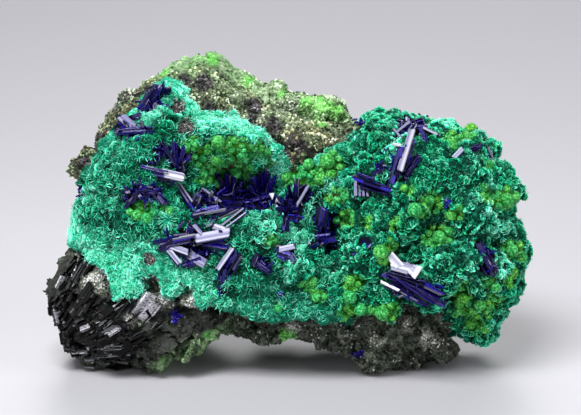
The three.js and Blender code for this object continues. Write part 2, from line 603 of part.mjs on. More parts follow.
function meshOf(name, solid, finish) {
  const { numProp, vertProperties, triVerts } = solid.getMesh();
  const geometry = new THREE.BufferGeometry();
  const place = new THREE.InterleavedBuffer(vertProperties, numProp);
  geometry.setAttribute("position", new THREE.InterleavedBufferAttribute(place, 3, 0));
  geometry.setIndex(new THREE.BufferAttribute(triVerts, 1));
  const mesh = new THREE.Mesh(geometry, new THREE.MeshStandardMaterial(finish));
  mesh.name = name;
  return mesh;
}

const hollows = ARCH_HOLLOWS.map((hollow) => shapedBall(ARCH.detail, (d) => archPoint(d, hollow)));
const arch = joined(hollows.map((hollow) => solidOf(hollow.applyMatrix4(STANDING.clone().invert()))));
const rock = solidOf(shapedBall(ROCK_DETAIL, (d) => rockPoint(d, 0)))
  .trimByPlane([0, 0, 1], 0)
  .subtract(arch);
const rockRoom = solidOf(shapedBall(ROCK_DETAIL, (d) => rockPoint(d, GAP)));
const crustRoom = crustSolid(GAP);
let crust = crustSolid(0).subtract(rockRoom);

// A cluster's roots fill pockets in the crust, and its blades stop at the crust's surface.
const azurite = {};
let taken = rockRoom;
for (const [name, { roots, blades }] of Object.entries(CLUSTERS)) {
  const rootSolid = (room) => joined(roots.map((root) => solidOf(rootGeometry(root, room))));
  const bladeSolid = (room) => joined(blades.map((blade) => solidOf(bladeGeometry(blade, room))));
  azurite[name] = largest(bladeSolid(0).subtract(crustRoom).add(rootSolid(0)).subtract(taken));
  taken = taken.add(rootSolid(GAP)).add(bladeSolid(GAP));
  crust = crust.subtract(rootSolid(GAP));
}
crust = largest(crust);

// ---- The scene graph ---------------------------------------------------------------------

const specimen = new THREE.Group();
specimen.add(meshOf("matrix_rock", rock, FINISHES.rock));
specimen.add(meshOf("arsentsumebite_crust", crust, FINISHES.crust));
for (const [name, solid] of Object.entries(azurite))
  specimen.add(meshOf(name, solid, FINISHES.azurite));

// The origin is at the middle of the base.
const extent = new THREE.Box3().setFromObject(specimen);
const middle = extent.getCenter(new THREE.Vector3());
specimen.position.set(-middle.x, -middle.y, 0);

export default specimen;
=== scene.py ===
"""A hand-sized arsentsumebite specimen: a lump of dark sulfide ore, coated in front with a
felt-like green druse that swells into a lobe, with lime-green botryoids in its hollows and
clusters of azurite blades. Sizes are in millimetres until a mesh is made."""

import math

import bmesh
import bpy
import numpy as np
from mathutils import Matrix, Vector


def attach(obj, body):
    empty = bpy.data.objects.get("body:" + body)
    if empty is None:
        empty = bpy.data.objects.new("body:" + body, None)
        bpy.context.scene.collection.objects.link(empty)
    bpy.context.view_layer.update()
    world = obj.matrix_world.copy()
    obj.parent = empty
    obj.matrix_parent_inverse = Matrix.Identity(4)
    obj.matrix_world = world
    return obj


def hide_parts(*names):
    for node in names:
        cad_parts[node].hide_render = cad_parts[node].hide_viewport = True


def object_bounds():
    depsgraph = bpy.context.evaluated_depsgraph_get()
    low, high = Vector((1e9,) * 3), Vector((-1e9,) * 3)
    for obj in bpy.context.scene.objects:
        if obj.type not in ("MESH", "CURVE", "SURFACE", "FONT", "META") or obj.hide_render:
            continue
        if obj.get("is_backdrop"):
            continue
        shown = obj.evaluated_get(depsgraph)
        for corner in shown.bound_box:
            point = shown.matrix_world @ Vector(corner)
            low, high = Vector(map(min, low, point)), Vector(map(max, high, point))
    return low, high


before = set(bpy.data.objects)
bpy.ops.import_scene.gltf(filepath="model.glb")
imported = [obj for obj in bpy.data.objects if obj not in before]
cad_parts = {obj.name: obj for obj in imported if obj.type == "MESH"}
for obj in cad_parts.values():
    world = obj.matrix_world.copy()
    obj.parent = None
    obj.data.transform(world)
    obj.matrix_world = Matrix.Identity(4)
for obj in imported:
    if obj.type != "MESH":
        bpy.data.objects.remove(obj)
frame_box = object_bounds()

# ---- The studio -----------------------------------------------------------------------------
# The specimen stands on a pale table under one large softbox, with weak fills on both sides
# and behind. The camera looks square at the display face, which leans back, through a long
# lens.

MM = 0.001
# The display face's own axes: across, up along its lean, and out of it.
LEAN = math.radians(14)
ACROSS = np.array([1.0, 0.0, 0.0])
UP = np.array([0.0, math.sin(LEAN), math.cos(LEAN)])
OUT = np.array([0.0, -math.cos(LEAN), math.sin(LEAN)])
# The middle of the overall box comes over the origin by this move.
TO_BASE_CENTRE = np.array([-0.14851, -10.48199, 0.0])
# The place on the face that the camera looks at, and how far away and how wide its view is.
VIEW_CENTRE = [0.36, 30.15, 4.0]
VIEW_DISTANCE = 700.0
VIEW_WIDTH = 104.6
SENSOR_WIDTH = 36
TABLE_REACH = 2


def standing(face):
    """Places on the display face (across, up, out) as places of the standing specimen: each
    number goes along its own axis, and the sum is moved over the middle of the base."""
    return np.asarray(face) @ np.stack([ACROSS, UP, OUT]) + TO_BASE_CENTRE


def linear(hex_colour):
    """An sRGB hex colour as linear red, green, blue and alpha: each channel is divided by
    12.92 when it is dark, and otherwise raised to the power 2.4."""
    channels = [int(hex_colour[n : n + 2], 16) / 255 for n in (1, 3, 5)]
    return [c / 12.92 if c <= 0.04045 else ((c + 0.055) / 1.055) ** 2.4 for c in channels] + [1.0]


def material_named(name):
    """A new material, its node tree and the shader that its nodes feed."""
    made = bpy.data.materials.new(name)
    made.use_nodes = True
    return made, made.node_tree, made.node_tree.nodes["Principled BSDF"]


def node(tree, kind, inputs=None, stops=None, **settings):
    """Adds a node, sets its own settings, and gives each named input a value or a link. Stops
    are the (place, colour) pairs of a colour ramp."""
    made = tree.nodes.new("ShaderNode" + kind)
    for name, value in settings.items():
        setattr(made, name, value)
    for name, value in (inputs or {}).items():
        if isinstance(value, bpy.types.NodeSocket):
            tree.links.new(value, made.inputs[name])
        else:
            made.inputs[name].default_value = value
    if stops:
        ramp = made.color_ramp.elements
        while len(ramp) < len(stops):
            ramp.new(0.5)
        for element, (place, colour) in zip(ramp, stops):
            element.position = place
            element.color = linear(colour)
    return made


camera_lens = bpy.data.cameras.new("studio_camera")
camera_lens.sensor_width = SENSOR_WIDTH
camera_lens.lens = SENSOR_WIDTH * VIEW_DISTANCE / VIEW_WIDTH
camera = bpy.data.objects.new("studio_camera", camera_lens)
camera_place = (standing(VIEW_CENTRE) + VIEW_DISTANCE * OUT) * MM
turned = np.column_stack([ACROSS, UP, OUT, camera_place])
camera.matrix_world = Matrix([*turned.tolist(), [0, 0, 0, 1]])
bpy.context.scene.collection.objects.link(camera)
bpy.context.scene.camera = camera

world = bpy.data.worlds.new("studio_room")
world.use_nodes = True
room_light = world.node_tree.nodes["Background"].inputs
room_light["Color"].default_value = linear("#D5D6DA")
room_light["Strength"].default_value = 0.15
bpy.context.scene.world = world
bpy.context.scene.view_settings.view_transform = "Standard"


def softbox(name, direction, distance, width, height, watts, glint):
    """A rectangular area light at a distance from the middle of the face, in a direction given
    across, up and out of it, turned to face it. Glint is how strongly it shows in gloss."""
    light = bpy.data.lights.new(name, "AREA")
    light.shape = "RECTANGLE"
    light.size, light.size_y = width * MM, height * MM
    light.energy = watts
    light.specular_factor = glint
    lamp = bpy.data.objects.new(name, light)
    bpy.context.scene.collection.objects.link(lamp)
    towards = np.array(direction) / np.linalg.norm(direction)
    way = towards @ np.stack([ACROSS, UP, OUT])
    lamp.location = (standing(VIEW_CENTRE) + distance * way) * MM
    lamp.rotation_euler = Vector(way).to_track_quat("Z", "Y").to_euler()
    return towards


key_direction = softbox("key_softbox", (-0.25, 0.75, 0.75), 560, 320, 230, 4.9, 1.0)
softbox("left_fill", (-0.9, 0.05, 0.7), 600, 300, 420, 1.5, 0.2)
softbox("right_fill", (1.0, 0.25, 0.6), 600, 300, 420, 1.8, 0.15)
softbox("back_fill", (0.1, 0.9, -0.9), 650, 500, 300, 2.0, 0.3)

table_material, tree, shader = material_named("matt_laminate_table")
# Matt laminate: a pale neutral grey with a very slight mottle.
mottle = node(tree, "TexNoise", {"Scale": 9.0, "Detail": 3.0})
tone = [(0.3, "#B0AFB6"), (0.7, "#B7B6BC")]
tone = node(tree, "ValToRGB", {"Fac": mottle.outputs["Fac"]}, tone)
tree.links.new(tone.outputs["Color"], shader.inputs["Base Color"])
shader.inputs["Roughness"].default_value = 0.45
table_sheet = bpy.data.meshes.new("table")
corners = [(TABLE_REACH * x, TABLE_REACH * y, 0) for x, y in ((-1, -1), (1, -1), (1, 1), (-1, 1))]
table_sheet.from_pydata(corners, [], [(0, 1, 2, 3)])
table_sheet.materials.append(table_material)
table = bpy.data.objects.new("table", table_sheet)
bpy.context.scene.collection.objects.link(table)
table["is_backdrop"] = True

# ---- The matrix rock ------------------------------------------------------------------------
# A broken lump of black bladed sulfide ore. Its top is a weathered, grainy olive-brown crust
# with a pale-green stain along the crest, and two flat spots of its underside carry it.

# The lump is a pillow about the middle of its face. Squareness is the power of its section.
FACE_CENTRE = [-4, 27]
SQUARENESS = 4
PILLOW_REACH = 38
PILLOW_RISE = 14
FACE_LEVEL = 5
BACK_DEPTH = -25
LOBE_BACK = -15
ROCK_OUTLINE = [
    [36, 27], [36, 34], [33, 40], [28, 43.5], [20, 43.5], [13, 45.8], [10.2, 48.6], [3, 50],
    [-1.2, 51.2], [-5, 51.8], [-10.4, 55.2], [-12.4, 57.6], [-16.8, 58.6], [-21, 57], [-25, 54],
    [-28.6, 50.6], [-31.2, 47.4], [-34.2, 44], [-35.8, 41], [-38, 38.6], [-38.4, 36.2], [-35, 33],
    [-36, 26.3], [-38, 22.4], [-40.4, 18], [-43, 12], [-43.2, 8.5], [-40.6, 4.5], [-36.8, 0.9],
    [-32, -0.4], [-24.2, -0.4], [-18.3, 3.6], [-15.4, 4.5], [-12.2, 7.6], [-9.5, 6.9], [-0.6, 5.3],
    [2.3, 6.1], [6.8, 4.7], [10.6, 2.3], [19.5, 0.6], [23.9, -0.2], [27, 2.4], [29.6, 5.4],
    [30.6, 9], [33.5, 14], [35.6, 20],
]
CRUST_BORDER = [
    [50, 3.5], [50, 52], [14.5, 52], [13.5, 44], [10.2, 41.8], [5.7, 39.2], [3.5, 37.3],
    [0.6, 37.1], [-0.8, 39.1], [-3.5, 43], [-5.5, 43.6], [-8, 46.4], [-10.2, 47.2], [-15.2, 47.2],
    [-17.4, 50.5], [-17.7, 53.1], [-20.3, 52.9], [-23.8, 52], [-25.2, 50.4], [-27.2, 47.2],
    [-31, 43.4], [-33.8, 40.4], [-35.6, 36.4], [-38, 32], [-40, 28], [-39.3, 23.5], [-36.8, 22],
    [-32.1, 19.4], [-31.8, 15], [-30.2, 12.8], [-27.8, 13.5], [-25, 17], [-22.6, 16],
    [-21.2, 13.7], [-18.4, 16], [-16.7, 15.9], [-15.4, 12.8], [-10.7, 13], [-4.4, 10.6],
    [3.2, 11.2], [8.2, 9.6], [13, 11.4], [16.5, 9.6], [19.4, 10.9], [21.5, 12.6], [24.2, 11.8],
    [28.4, 11.2], [29.8, 8.2], [31, 5.6], [31.8, 3.5],
]
# Rises and hollows of the face: across, up, half-width, half-height, height.
SWELLS = [
    [-26, 33, 13, 14, 3.5], [-30, 11, 11, 8, 3], [27, 27, 16, 17, 9], [2, 13, 20, 5, 3],
    [-8, 33.5, 11, 5, -8], [6.5, 27.5, 3.2, 5.5, -8], [-5, 26.5, 5, 3.5, 4], [-9, 41, 8, 3.5, 3],
]
# Smaller knolls and dells: across, up, radius, height.
KNOLLS = [
    [17.4, 46.5, 3, 1.5], [15, 38.5, 5, 2.5], [25, 38.5, 4.5, 1.5], [34, 38.5, 4, 2],
    [40, 33, 3.5, 2], [19, 30.5, 4, 1.5], [32.5, 30, 4, 2], [37.5, 24.5, 4.5, 2], [28, 20, 4, 2.5],
    [13, 22, 4.5, 2.5], [35, 12.5, 4.5, 2.2], [39.5, 17, 3.5, 1.5], [34.5, 8, 3, 1.5],
    [26.5, 27.5, 3.2, -2.5], [28.3, 24, 2.5, -1.5], [20, 23, 2.5, -2], [15, 32.6, 4, -1.5],
    [-34, 37, 4, 1], [-33, 27, 5, 1.2], [-27, 40, 5, 1], [-24, 19, 4, 1], [-10, 17, 5, 1.2],
    [0, 15, 4, 1.2], [6, 14, 4, 1],
]
# The ridge of druse in the middle: its two ends, half-width and height.
RIDGE = [1.5, 19, 9.5, 33.5, 1.9, 4.5]
# The flat breaks of the ore: facing across, up and out, and distance from the face's middle.
BREAKS = [
    [-0.72, -0.3, 0.62, 34], [-0.25, -0.8, 0.55, 27.5], [0.3, -0.6, 0.74, 23],
    [-0.98, -0.2, 0, 40], [-0.45, 0.45, -0.77, 35.5], [0.2, 0.5, -0.84, 29],
    [0.08, 0.1, -0.99, 23], [0.1, -0.6, -0.8, 27.5], [-0.8, 0.05, -0.6, 35], [0.7, 0.2, -0.7, 35],
]
# The hollows of the arch: across, half-width, height, half-length from front to back.
ARCH_HOLLOWS = [[-10, 7, 7.6, 70], [0, 13.5, 6, 70], [-16, 6.5, 4.4, 12]]


def smooth(x, low, high):
    """A smooth step from 0 to 1 as x goes from low to high: three t squared less two t cubed."""
    t = np.clip((x - low) / (high - low), 0, 1)
    return t * t * (3 - 2 * t)


def lerp(start, end, share):
    """The value that lies the given share of the way from start to end."""
    return start + (end - start) * share


def cell_number(cell, seed):
    """A repeatable number from 0 to 1 for each whole-numbered cell: its three numbers times
    large odd numbers are added up with the seed, and their bits mixed."""
    i, j, k = (np.asarray(n).astype(np.int64).astype(np.uint32) for n in cell)
    with np.errstate(over="ignore"):
        h = i * np.uint32(374761393) + j * np.uint32(668265263) + k * np.uint32(1103515245)
        h = (h + np.uint32(seed * 144665)) * np.uint32(1274126177)
        h = (h ^ (h >> np.uint32(13))) * np.uint32(1274126177)
    return (h ^ (h >> np.uint32(16))) / 2.0**32


def swells(p, spacing, seed):
    """Smooth noise from -1 to 1: the numbers of the eight cells round each point, weighted by
    smooth steps of how near the point is to each."""
    place = np.moveaxis(np.asarray(p), -1, 0) / spacing
    whole = np.floor(place)
    part = smooth(place - whole, 0, 1)
    total = 0
    for corner in range(8):
        step = [corner & 1, (corner >> 1) & 1, corner >> 2]
        weight = 1
        for s, share in zip(step, part):
            weight = weight * (share if s else 1 - share)
        total = total + weight * cell_number([w + s for w, s in zip(whole, step)], seed)
    return 2 * total - 1


def nearest_seed(p, spacing, seed):
    """The nearest of a cloud of scattered points, one to a cell, looked for in the 27 cells
    round each point: its distance, its cell and its place."""
    p = np.asarray(p)
    here = np.floor(np.moveaxis(p, -1, 0) / spacing)
    best = np.full(p.shape[:-1], np.inf)
    best_cell, best_place = np.zeros_like(p), np.zeros_like(p)
    for n in range(27):
        cell = [here[axis] + (n // 3**axis) % 3 - 1 for axis in range(3)]
        place = np.stack([spacing * (cell[a] + cell_number(cell, seed + a)) for a in range(3)], -1)
        distance = np.linalg.norm(p - place, axis=-1)
        nearer = distance < best
        best = np.where(nearer, distance, best)
        best_cell = np.where(nearer[..., None], np.stack(cell, -1), best_cell)
        best_place = np.where(nearer[..., None], place, best_place)
    return best, best_cell, best_place


def lumps(p, spacing, seed):
    """Rounded lumps: 1 on top of each, falling with the square of the distance to 0 in the
    deepest seams."""
    return np.maximum(0, 1 - (nearest_seed(p, spacing, seed)[0] / (0.9 * spacing)) ** 2)


def facets(p, spacing, slope, seed):
    """Flat facets: each scattered point has a tilt of its own, and the height is the slope
    times the tilt times the way from that point."""
    _, cell, place = nearest_seed(p, spacing, seed)
    cell = np.moveaxis(cell, -1, 0)
    tilt = np.stack([2 * cell_number(cell, seed + n) - 1 for n in (3, 4, 5)], -1)
    return slope * (tilt * (p - place)).sum(-1)


def from_segment(a, b, ax, ay, bx, by):
    """The distance from each place to a straight segment: the nearest point of the segment lies
    a share along it, which is held between 0 and 1."""
    along = ((a - ax) * (bx - ax) + (b - ay) * (by - ay)) / ((bx - ax) ** 2 + (by - ay) ** 2)
    t = np.clip(along, 0, 1)
    return np.hypot(a - lerp(ax, bx, t), b - lerp(ay, by, t))


def depth_inside(outline, a, b):
    """How far each point lies inside a closed outline, less than 0 outside: the distance to
    the nearest side, with its sign from how many sides a line to the right crosses."""
    nearest = np.full(a.shape, np.inf)
    inside = np.zeros(a.shape, bool)
    for (ax, ay), (bx, by) in zip(outline, outline[1:] + outline[:1]):
        nearest = np.minimum(nearest, from_segment(a, b, ax, ay, bx, by))
        if ay != by:
            inside ^= ((ay > b) != (by > b)) & (a < ax + ((b - ay) / (by - ay)) * (bx - ax))
    return np.where(inside, nearest, -nearest)


def radius_of(outline):
    """The outline's radius from the face centre as a function of the angle round it, linear
    between its corners."""
    arms = np.array(outline, float) - FACE_CENTRE
    turns = np.arctan2(arms[:, 1], arms[:, 0])
    return lambda turn: np.interp(turn, turns, np.hypot(*arms.T), period=2 * math.pi)


def edge_depth(b):
    """The depth of the lump's edge: in front at the foot and at the back at the crest."""
    return 2 - 0.4 * b


def relief(a, b):
    """How far out the face stands: a level, plus a bell curve for each swell, knoll and the
    ridge, less a slope past the crest."""
    out = np.full(np.shape(a), float(FACE_LEVEL))
    for ca, cb, ra, rb, height in SWELLS:
        out += height * np.exp(-(((a - ca) / ra) ** 2) - ((b - cb) / rb) ** 2)
    *ends, reach, height = RIDGE
    out += height * np.exp(-((from_segment(a, b, *ends) / reach) ** 2))
    for ca, cb, radius, height in KNOLLS:
        out += height * np.exp(-((a - ca) ** 2 + (b - cb) ** 2) / radius**2)
    return out - 1.25 * np.maximum(0, b - 40 + 0.2 * a) * (1 - smooth(a, 8, 16))


def broken(p):
    """Breaks off what stands out past each flat break: the arm from the face's middle is
    scaled back to the plane."""
    middle = np.array([*FACE_CENTRE, 0.0])
    arm = p - middle
    for *facing, distance in BREAKS:
        reach = arm @ (np.array(facing) / np.linalg.norm(facing))
        arm = arm * np.where(reach > distance, distance / np.maximum(reach, 1e-9), 1)[..., None]
    return arm + middle


def pillow(d, radius_at):
    """A direction as a place on a pillow: its share of the outline's radius and of the depth
    are those of a superellipse, and the depth runs to the relief in front or a plain back."""
    flat = np.hypot(d[..., 0], d[..., 1])
    whole = (flat**SQUARENESS + np.abs(d[..., 2]) ** SQUARENESS) ** (1 / SQUARENESS)
    turn = np.arctan2(d[..., 1], d[..., 0])
    radius = radius_at(turn) * flat / whole
    a = FACE_CENTRE[0] + radius * np.cos(turn)
    b = FACE_CENTRE[1] + radius * np.sin(turn)
    limit = np.where(d[..., 2] > 0, relief(a, b), BACK_DEPTH)
    out = lerp(edge_depth(b), limit, np.abs(d[..., 2]) / whole)
    return broken(np.stack([a, b, out], -1))


def crust_extent(p):
    """How far a point lies inside the druse's extent: within its border on the face, and in
    front of its limit at the back. The border is ragged by a millimetre, and by two or three
    behind the lobe."""
    a, b, out = np.moveaxis(p, -1, 0)
    on_lobe = smooth(a, 10, 20)
    limit = lerp(edge_depth(b) - 1, LOBE_BACK, on_lobe)
    ragged = 0.9 * swells(p, 2.6, 71) + 0.5 * swells(p, 1.1, 72)
    behind = (0.7 + 1.9 * on_lobe) * swells(p, 5, 73) + ragged * on_lobe
    return np.minimum(depth_inside(CRUST_BORDER, a, b) + ragged, out - limit + behind)


def directions(steps, furthest):
    """A square sheet of directions: a square grid is bent into a disc, whose angle is the turn
    about the outward axis and whose radius is the fall from it, up to the furthest. The fall
    is spaced so that the pillow's cells are about as long everywhere."""
    u, v = np.meshgrid(np.linspace(-1, 1, steps), np.linspace(-1, 1, steps), indexing="ij")
    reach = np.maximum(np.abs(u), np.abs(v))
    wide = np.abs(u) >= np.abs(v)
    longer, shorter = np.where(wide, u, v), np.where(wide, v, u)
    share = shorter / np.where(longer == 0, 1, longer)
    turn = np.where(wide, share * math.pi / 4, math.pi / 2 - share * math.pi / 4)
    turn = turn + np.where(longer < 0, math.pi, 0)
    falls = np.linspace(0, furthest, 400)
    whole = (np.sin(falls) ** SQUARENESS + np.cos(falls) ** SQUARENESS) ** (1 / SQUARENESS)
    path = [PILLOW_REACH * np.sin(falls) / whole, PILLOW_RISE * np.cos(falls) / whole]
    gone = np.concatenate([[0], np.cumsum(np.hypot(*np.diff(path)))])
    fall = np.interp(reach * gone[-1], gone, falls)
    return np.stack([np.sin(fall) * np.cos(turn), np.sin(fall) * np.sin(turn), np.cos(fall)], -1)


def grid_faces(numbers):
    """The four-sided faces of a grid of point numbers, row by row."""
    corners = [numbers[:-1, :-1], numbers[1:, :-1], numbers[1:, 1:], numbers[:-1, 1:]]
    return np.stack(corners, -1).reshape(-1, 4)


def outward_normals(points, faces):
    """Unit normals of a mesh's points: the crossed diagonals of the faces round each point,
    added up."""
    corners = points[faces]
    across = np.cross(corners[:, 2] - corners[:, 0], corners[:, -1] - corners[:, 1])
    total = np.zeros_like(points)
    for corner in faces.T:
        for axis in range(3):
            total[:, axis] += np.bincount(corner, across[:, axis], len(points))
    return total / np.maximum(np.linalg.norm(total, axis=-1, keepdims=True), 1e-12)


def spots(a, b, rows, ragged, edge):
    """From 0 to 1, how far inside the nearest of some round spots each place of the face is: a
    smooth step over the spot's ragged edge. The rows are across, up, radius."""
    best = np.zeros(len(a))
    for spot_a, spot_b, radius in rows:
        off = np.hypot(a - spot_a, b - spot_b) + ragged - radius
        best = np.maximum(best, smooth(off, edge, -edge))
    return best


def blended(tree, along, recipe):
    """The colour of a recipe. It is a hex colour, or a ramp's stops run along a value, or the
    name of a mesh's value and the two recipes that it blends, the first where it is 0."""
    if isinstance(recipe, str):
        return linear(recipe)
    if isinstance(recipe, list):
        return node(tree, "ValToRGB", {"Fac": along}, recipe).outputs["Color"]
    name, *pair = recipe
    share = node(tree, "Attribute", attribute_name=name).outputs["Fac"]
    under, over = (blended(tree, along, part) for part in pair)
    mix = node(tree, "MixRGB", {"Fac": share, "Color1": under, "Color2": over})
    return mix.outputs["Color"]


def mineral(name, recipe, along=None, grain=None, bump=None, shade=None, dulled=None, fixed=None):
    """A mineral's material. Its recipe runs along a named value of the mesh, or along a noise
    given by its grain in mm, detail and roughness. The noise is also the bump, given by height
    in mm and strength, and drives a shade that multiplies the colour. Dulled is the value that
    drives the shader's roughness, with its two ends. Fixed holds the other constants."""
    made, tree, shader = material_named(name)
    if grain:
        place = node(tree, "TexCoord").outputs["Object"]
        noise = dict(zip(["Scale", "Detail", "Roughness"], [1 / (grain[0] * MM), *grain[1:]]))
        noise = node(tree, "TexNoise", {"Vector": place, **noise}).outputs["Fac"]
    if along:
        along = node(tree, "Attribute", attribute_name=along).outputs["Fac"]
    colour = blended(tree, along or noise, recipe)
    if shade:
        both = {"Fac": 1.0, "Color1": colour, "Color2": blended(tree, noise, shade)}
        colour = node(tree, "MixRGB", both, blend_type="MULTIPLY").outputs["Color"]
    tree.links.new(colour, shader.inputs["Base Color"])
    if dulled:
        value = node(tree, "Attribute", attribute_name=dulled[0]).outputs["Fac"]
        ends = {"Value": value, "To Min": dulled[1], "To Max": dulled[2]}
        gloss = node(tree, "MapRange", ends)
        tree.links.new(gloss.outputs["Result"], shader.inputs["Roughness"])
    if bump:
        rough = {"Height": noise, "Distance": bump[0] * MM, "Strength": bump[1]}
        tree.links.new(node(tree, "Bump", rough).outputs["Normal"], shader.inputs["Normal"])
    for key, value in (fixed or {}).items():
        shader.inputs[key].default_value = value
    return made


def piece(name, points, face_sets, material, smooth_faces, values=None, cells=None):
    """A mesh object from points in millimetres of the standing specimen and sets of faces,
    with named values for each point. Cells are each point's place on the piece's own map."""
    mesh = bpy.data.meshes.new(name)
    mesh.vertices.add(len(points))
    mesh.vertices.foreach_set("co", (points * MM).astype(np.float32).ravel())
    corners = np.concatenate([faces.ravel() for faces in face_sets])
    sizes = np.concatenate([np.full(len(faces), faces.shape[1]) for faces in face_sets])
    mesh.loops.add(len(corners))
    mesh.loops.foreach_set("vertex_index", corners.astype(np.int32))
    mesh.polygons.add(len(sizes))
    starts = np.concatenate([[0], np.cumsum(sizes)[:-1]])
    mesh.polygons.foreach_set("loop_start", starts.astype(np.int32))
    mesh.polygons.foreach_set("use_smooth", np.full(len(sizes), smooth_faces))
    mesh.update(calc_edges=True)
    for value_name, value in (values or {}).items():
        own_value = mesh.attributes.new(value_name, "FLOAT", "POINT")
        own_value.data.foreach_set("value", np.asarray(value, np.float32).ravel())
    if cells is not None:
        own_map = mesh.uv_layers.new(name="OFBake")
        own_map.data.foreach_set("uv", cells[corners].astype(np.float32).ravel())
    mesh.materials.append(material)
    made = bpy.data.objects.new(name, mesh)
    bpy.context.scene.collection.objects.link(made)
    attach(made, "root")
    return made


ROCK_STEPS = 222
# The feet stand this much above the table, so that the two surfaces don't fight.
TABLE_GAP = 0.02
rock_radius = radius_of(ROCK_OUTLINE)
front = directions(ROCK_STEPS, math.pi / 2)
numbers = np.arange(ROCK_STEPS**2).reshape(ROCK_STEPS, ROCK_STEPS)
# The back is the front mirrored, and shares its rim.
back_numbers = numbers + ROCK_STEPS**2
rim = np.ones_like(numbers, bool)
rim[1:-1, 1:-1] = False
back_numbers[rim] = numbers[rim]
rock_d = np.concatenate([front.reshape(-1, 3), (front * [1, 1, -1]).reshape(-1, 3)])
rock_faces = np.concatenate([grid_faces(numbers), grid_faces(back_numbers)[:, ::-1]])
used, rock_faces = np.unique(rock_faces, return_inverse=True)
rock_faces = rock_faces.reshape(-1, 4)
rock_d = rock_d[used]

base = pillow(rock_d, rock_radius)
base_a, base_b, base_out = base.T
covered = smooth(crust_extent(base), -2, 1)
peak = smooth(base_b, 51, 56)
coarse = (facets(base, 12, 0.3, 31) + 0.8 * swells(base, 5, 11)) * (1 - 0.6 * peak)
rock = base + rock_d * (coarse * lerp(1, 0.2, covered) - 1.2 * covered)[..., None]
# Finer relief grows along the surface's own normals: small broken facets on the ore, and
# grains with pits between them on the weathered top.
normals = outward_normals(rock, rock_faces)
weathered = smooth(base_b + 3 * swells(base, 6, 12), 21, 27)
small_grain = lumps(base, 1.5, 51)
hummock = lumps(base, 3.6, 50)
grains = 0.55 * small_grain + 0.35 * lumps(base, 0.9, 52) + 0.5 * swells(base, 2.4, 53)
grains += 0.6 * swells(base, 4.6, 59) + 1.3 * (hummock - 0.55)
grains = (grains - 0.45) * (1 - 0.65 * peak) + 0.25 * peak
shards = facets(base, 3.4, 0.75, 54) + facets(base, 1.5, 0.6, 55)
shards = shards + 0.4 * swells(base, 2.2, 56) - 0.5
shards *= lerp(1, 0.55, smooth(base_a, -22, -30))
behind = smooth(base_out - edge_depth(base_b), -2, -5)
fine = lerp(shards, grains, weathered) * (1 - 0.8 * covered) * (1 - 0.45 * behind) - 0.4 * behind
# Bulges of the rim, and corners that have broken off it: across, up, radius, height.
RIM_BUMPS = [
    [-38.5, 41.5, 3.2, -2.4], [-39.8, 23, 2.8, 1.6], [-42, 17, 3, 0.7], [-38, 33.6, 2.2, 1.2],
    [31, 2.8, 2.4, -1.4],
]
for bump_a, bump_b, radius, height in RIM_BUMPS:
    off = (base_a - bump_a) ** 2 + (base_b - bump_b) ** 2
    fine += height * np.exp(-off / radius**2)
rock = rock + normals * fine[:, None]
rock_stand = standing(rock)
x, y, z = rock_stand.T
# The arch under the lump lifts what would hang into it, and the feet are flat on the table.
for arch_across, half_width, height, half_length in ARCH_HOLLOWS:
    hollow_x, hollow_y = x - TO_BASE_CENTRE[0] - arch_across, y - TO_BASE_CENTRE[1]
    hollow = 1 - (hollow_x / half_width) ** 2 - (hollow_y / half_length) ** 2
    ceiling = height * np.sqrt(np.maximum(0, hollow))
    ceiling *= 1 + 0.12 * swells(np.stack([hollow_x, hollow_y, ceiling], -1), 5, 23)
    uneven = swells(rock_stand, 1.6, 57) + facets(rock_stand, 2.5, 0.6, 58)
    ceiling += 0.4 * smooth(hollow, 0, 0.3) * uneven
    lifted = 0.4 * smooth(ceiling * (hollow > 0) - z, 0, 1)
    x, y = x + lifted * swells(rock_stand, 2.2, 24), y + lifted * swells(rock_stand, 2.2, 25)
    z = np.maximum(z, ceiling * (hollow > 0))
rock_stand = np.stack([x, y, np.maximum(z, TABLE_GAP)], -1)

a, b, out = rock.T
crest = depth_inside(ROCK_OUTLINE, base_a, base_b) - 0.7 * swells(base, 3, 61)
on_top = smooth(a, -27, -19) * smooth(b, 41, 45)
stain = on_top * np.maximum(smooth(crest, 2.6, 1.0), 0.45 * smooth(crest, 9, 4))
coat = smooth(b - 0.6 * (a + 25) + 1.2 * swells(base, 3, 62), 2.8, 1.2)
coat = smooth(a, -26.5, -23.5) * smooth(a, -9, -12) * coat
patches = smooth(swells(base, 9, 63) + 0.5 * swells(base, 3, 64), 0.25, 0.6)
patches = behind * smooth(b, 6, 12) * patches
stain = np.maximum(np.maximum(stain, 0.42 * coat * (1 + 0.5 * swells(base, 1.4, 65))), patches)
stain = np.maximum(stain, peak * smooth(crest, 3.0, 1.2))
# Spots of fresher, grass-green stain: across, up, radius.
GRASSY_SPOTS = [
    [6.2, 47.6, 2.4], [8.8, 47.2, 1.6], [-7.6, 53.4, 1.1], [-1.4, 50.9, 0.8], [3.4, 49.4, 1.2],
    [-22.5, 2.6, 0.8], [-18.5, 4.6, 0.7], [-14.5, 7.2, 0.7], [-0.2, 7, 1.6], [-23, 54.9, 0.9],
    [-14, 57.4, 1.2],
]
grassy = spots(a, b, GRASSY_SPOTS, 0.6 * swells(base, 1.6, 66), 0.4)
stain = np.maximum(stain, grassy)
on_peak = peak * (0.3 + 0.5 * swells(base, 2.6, 81))
grassy = np.maximum(grassy, np.maximum(0.3 * coat, on_peak))
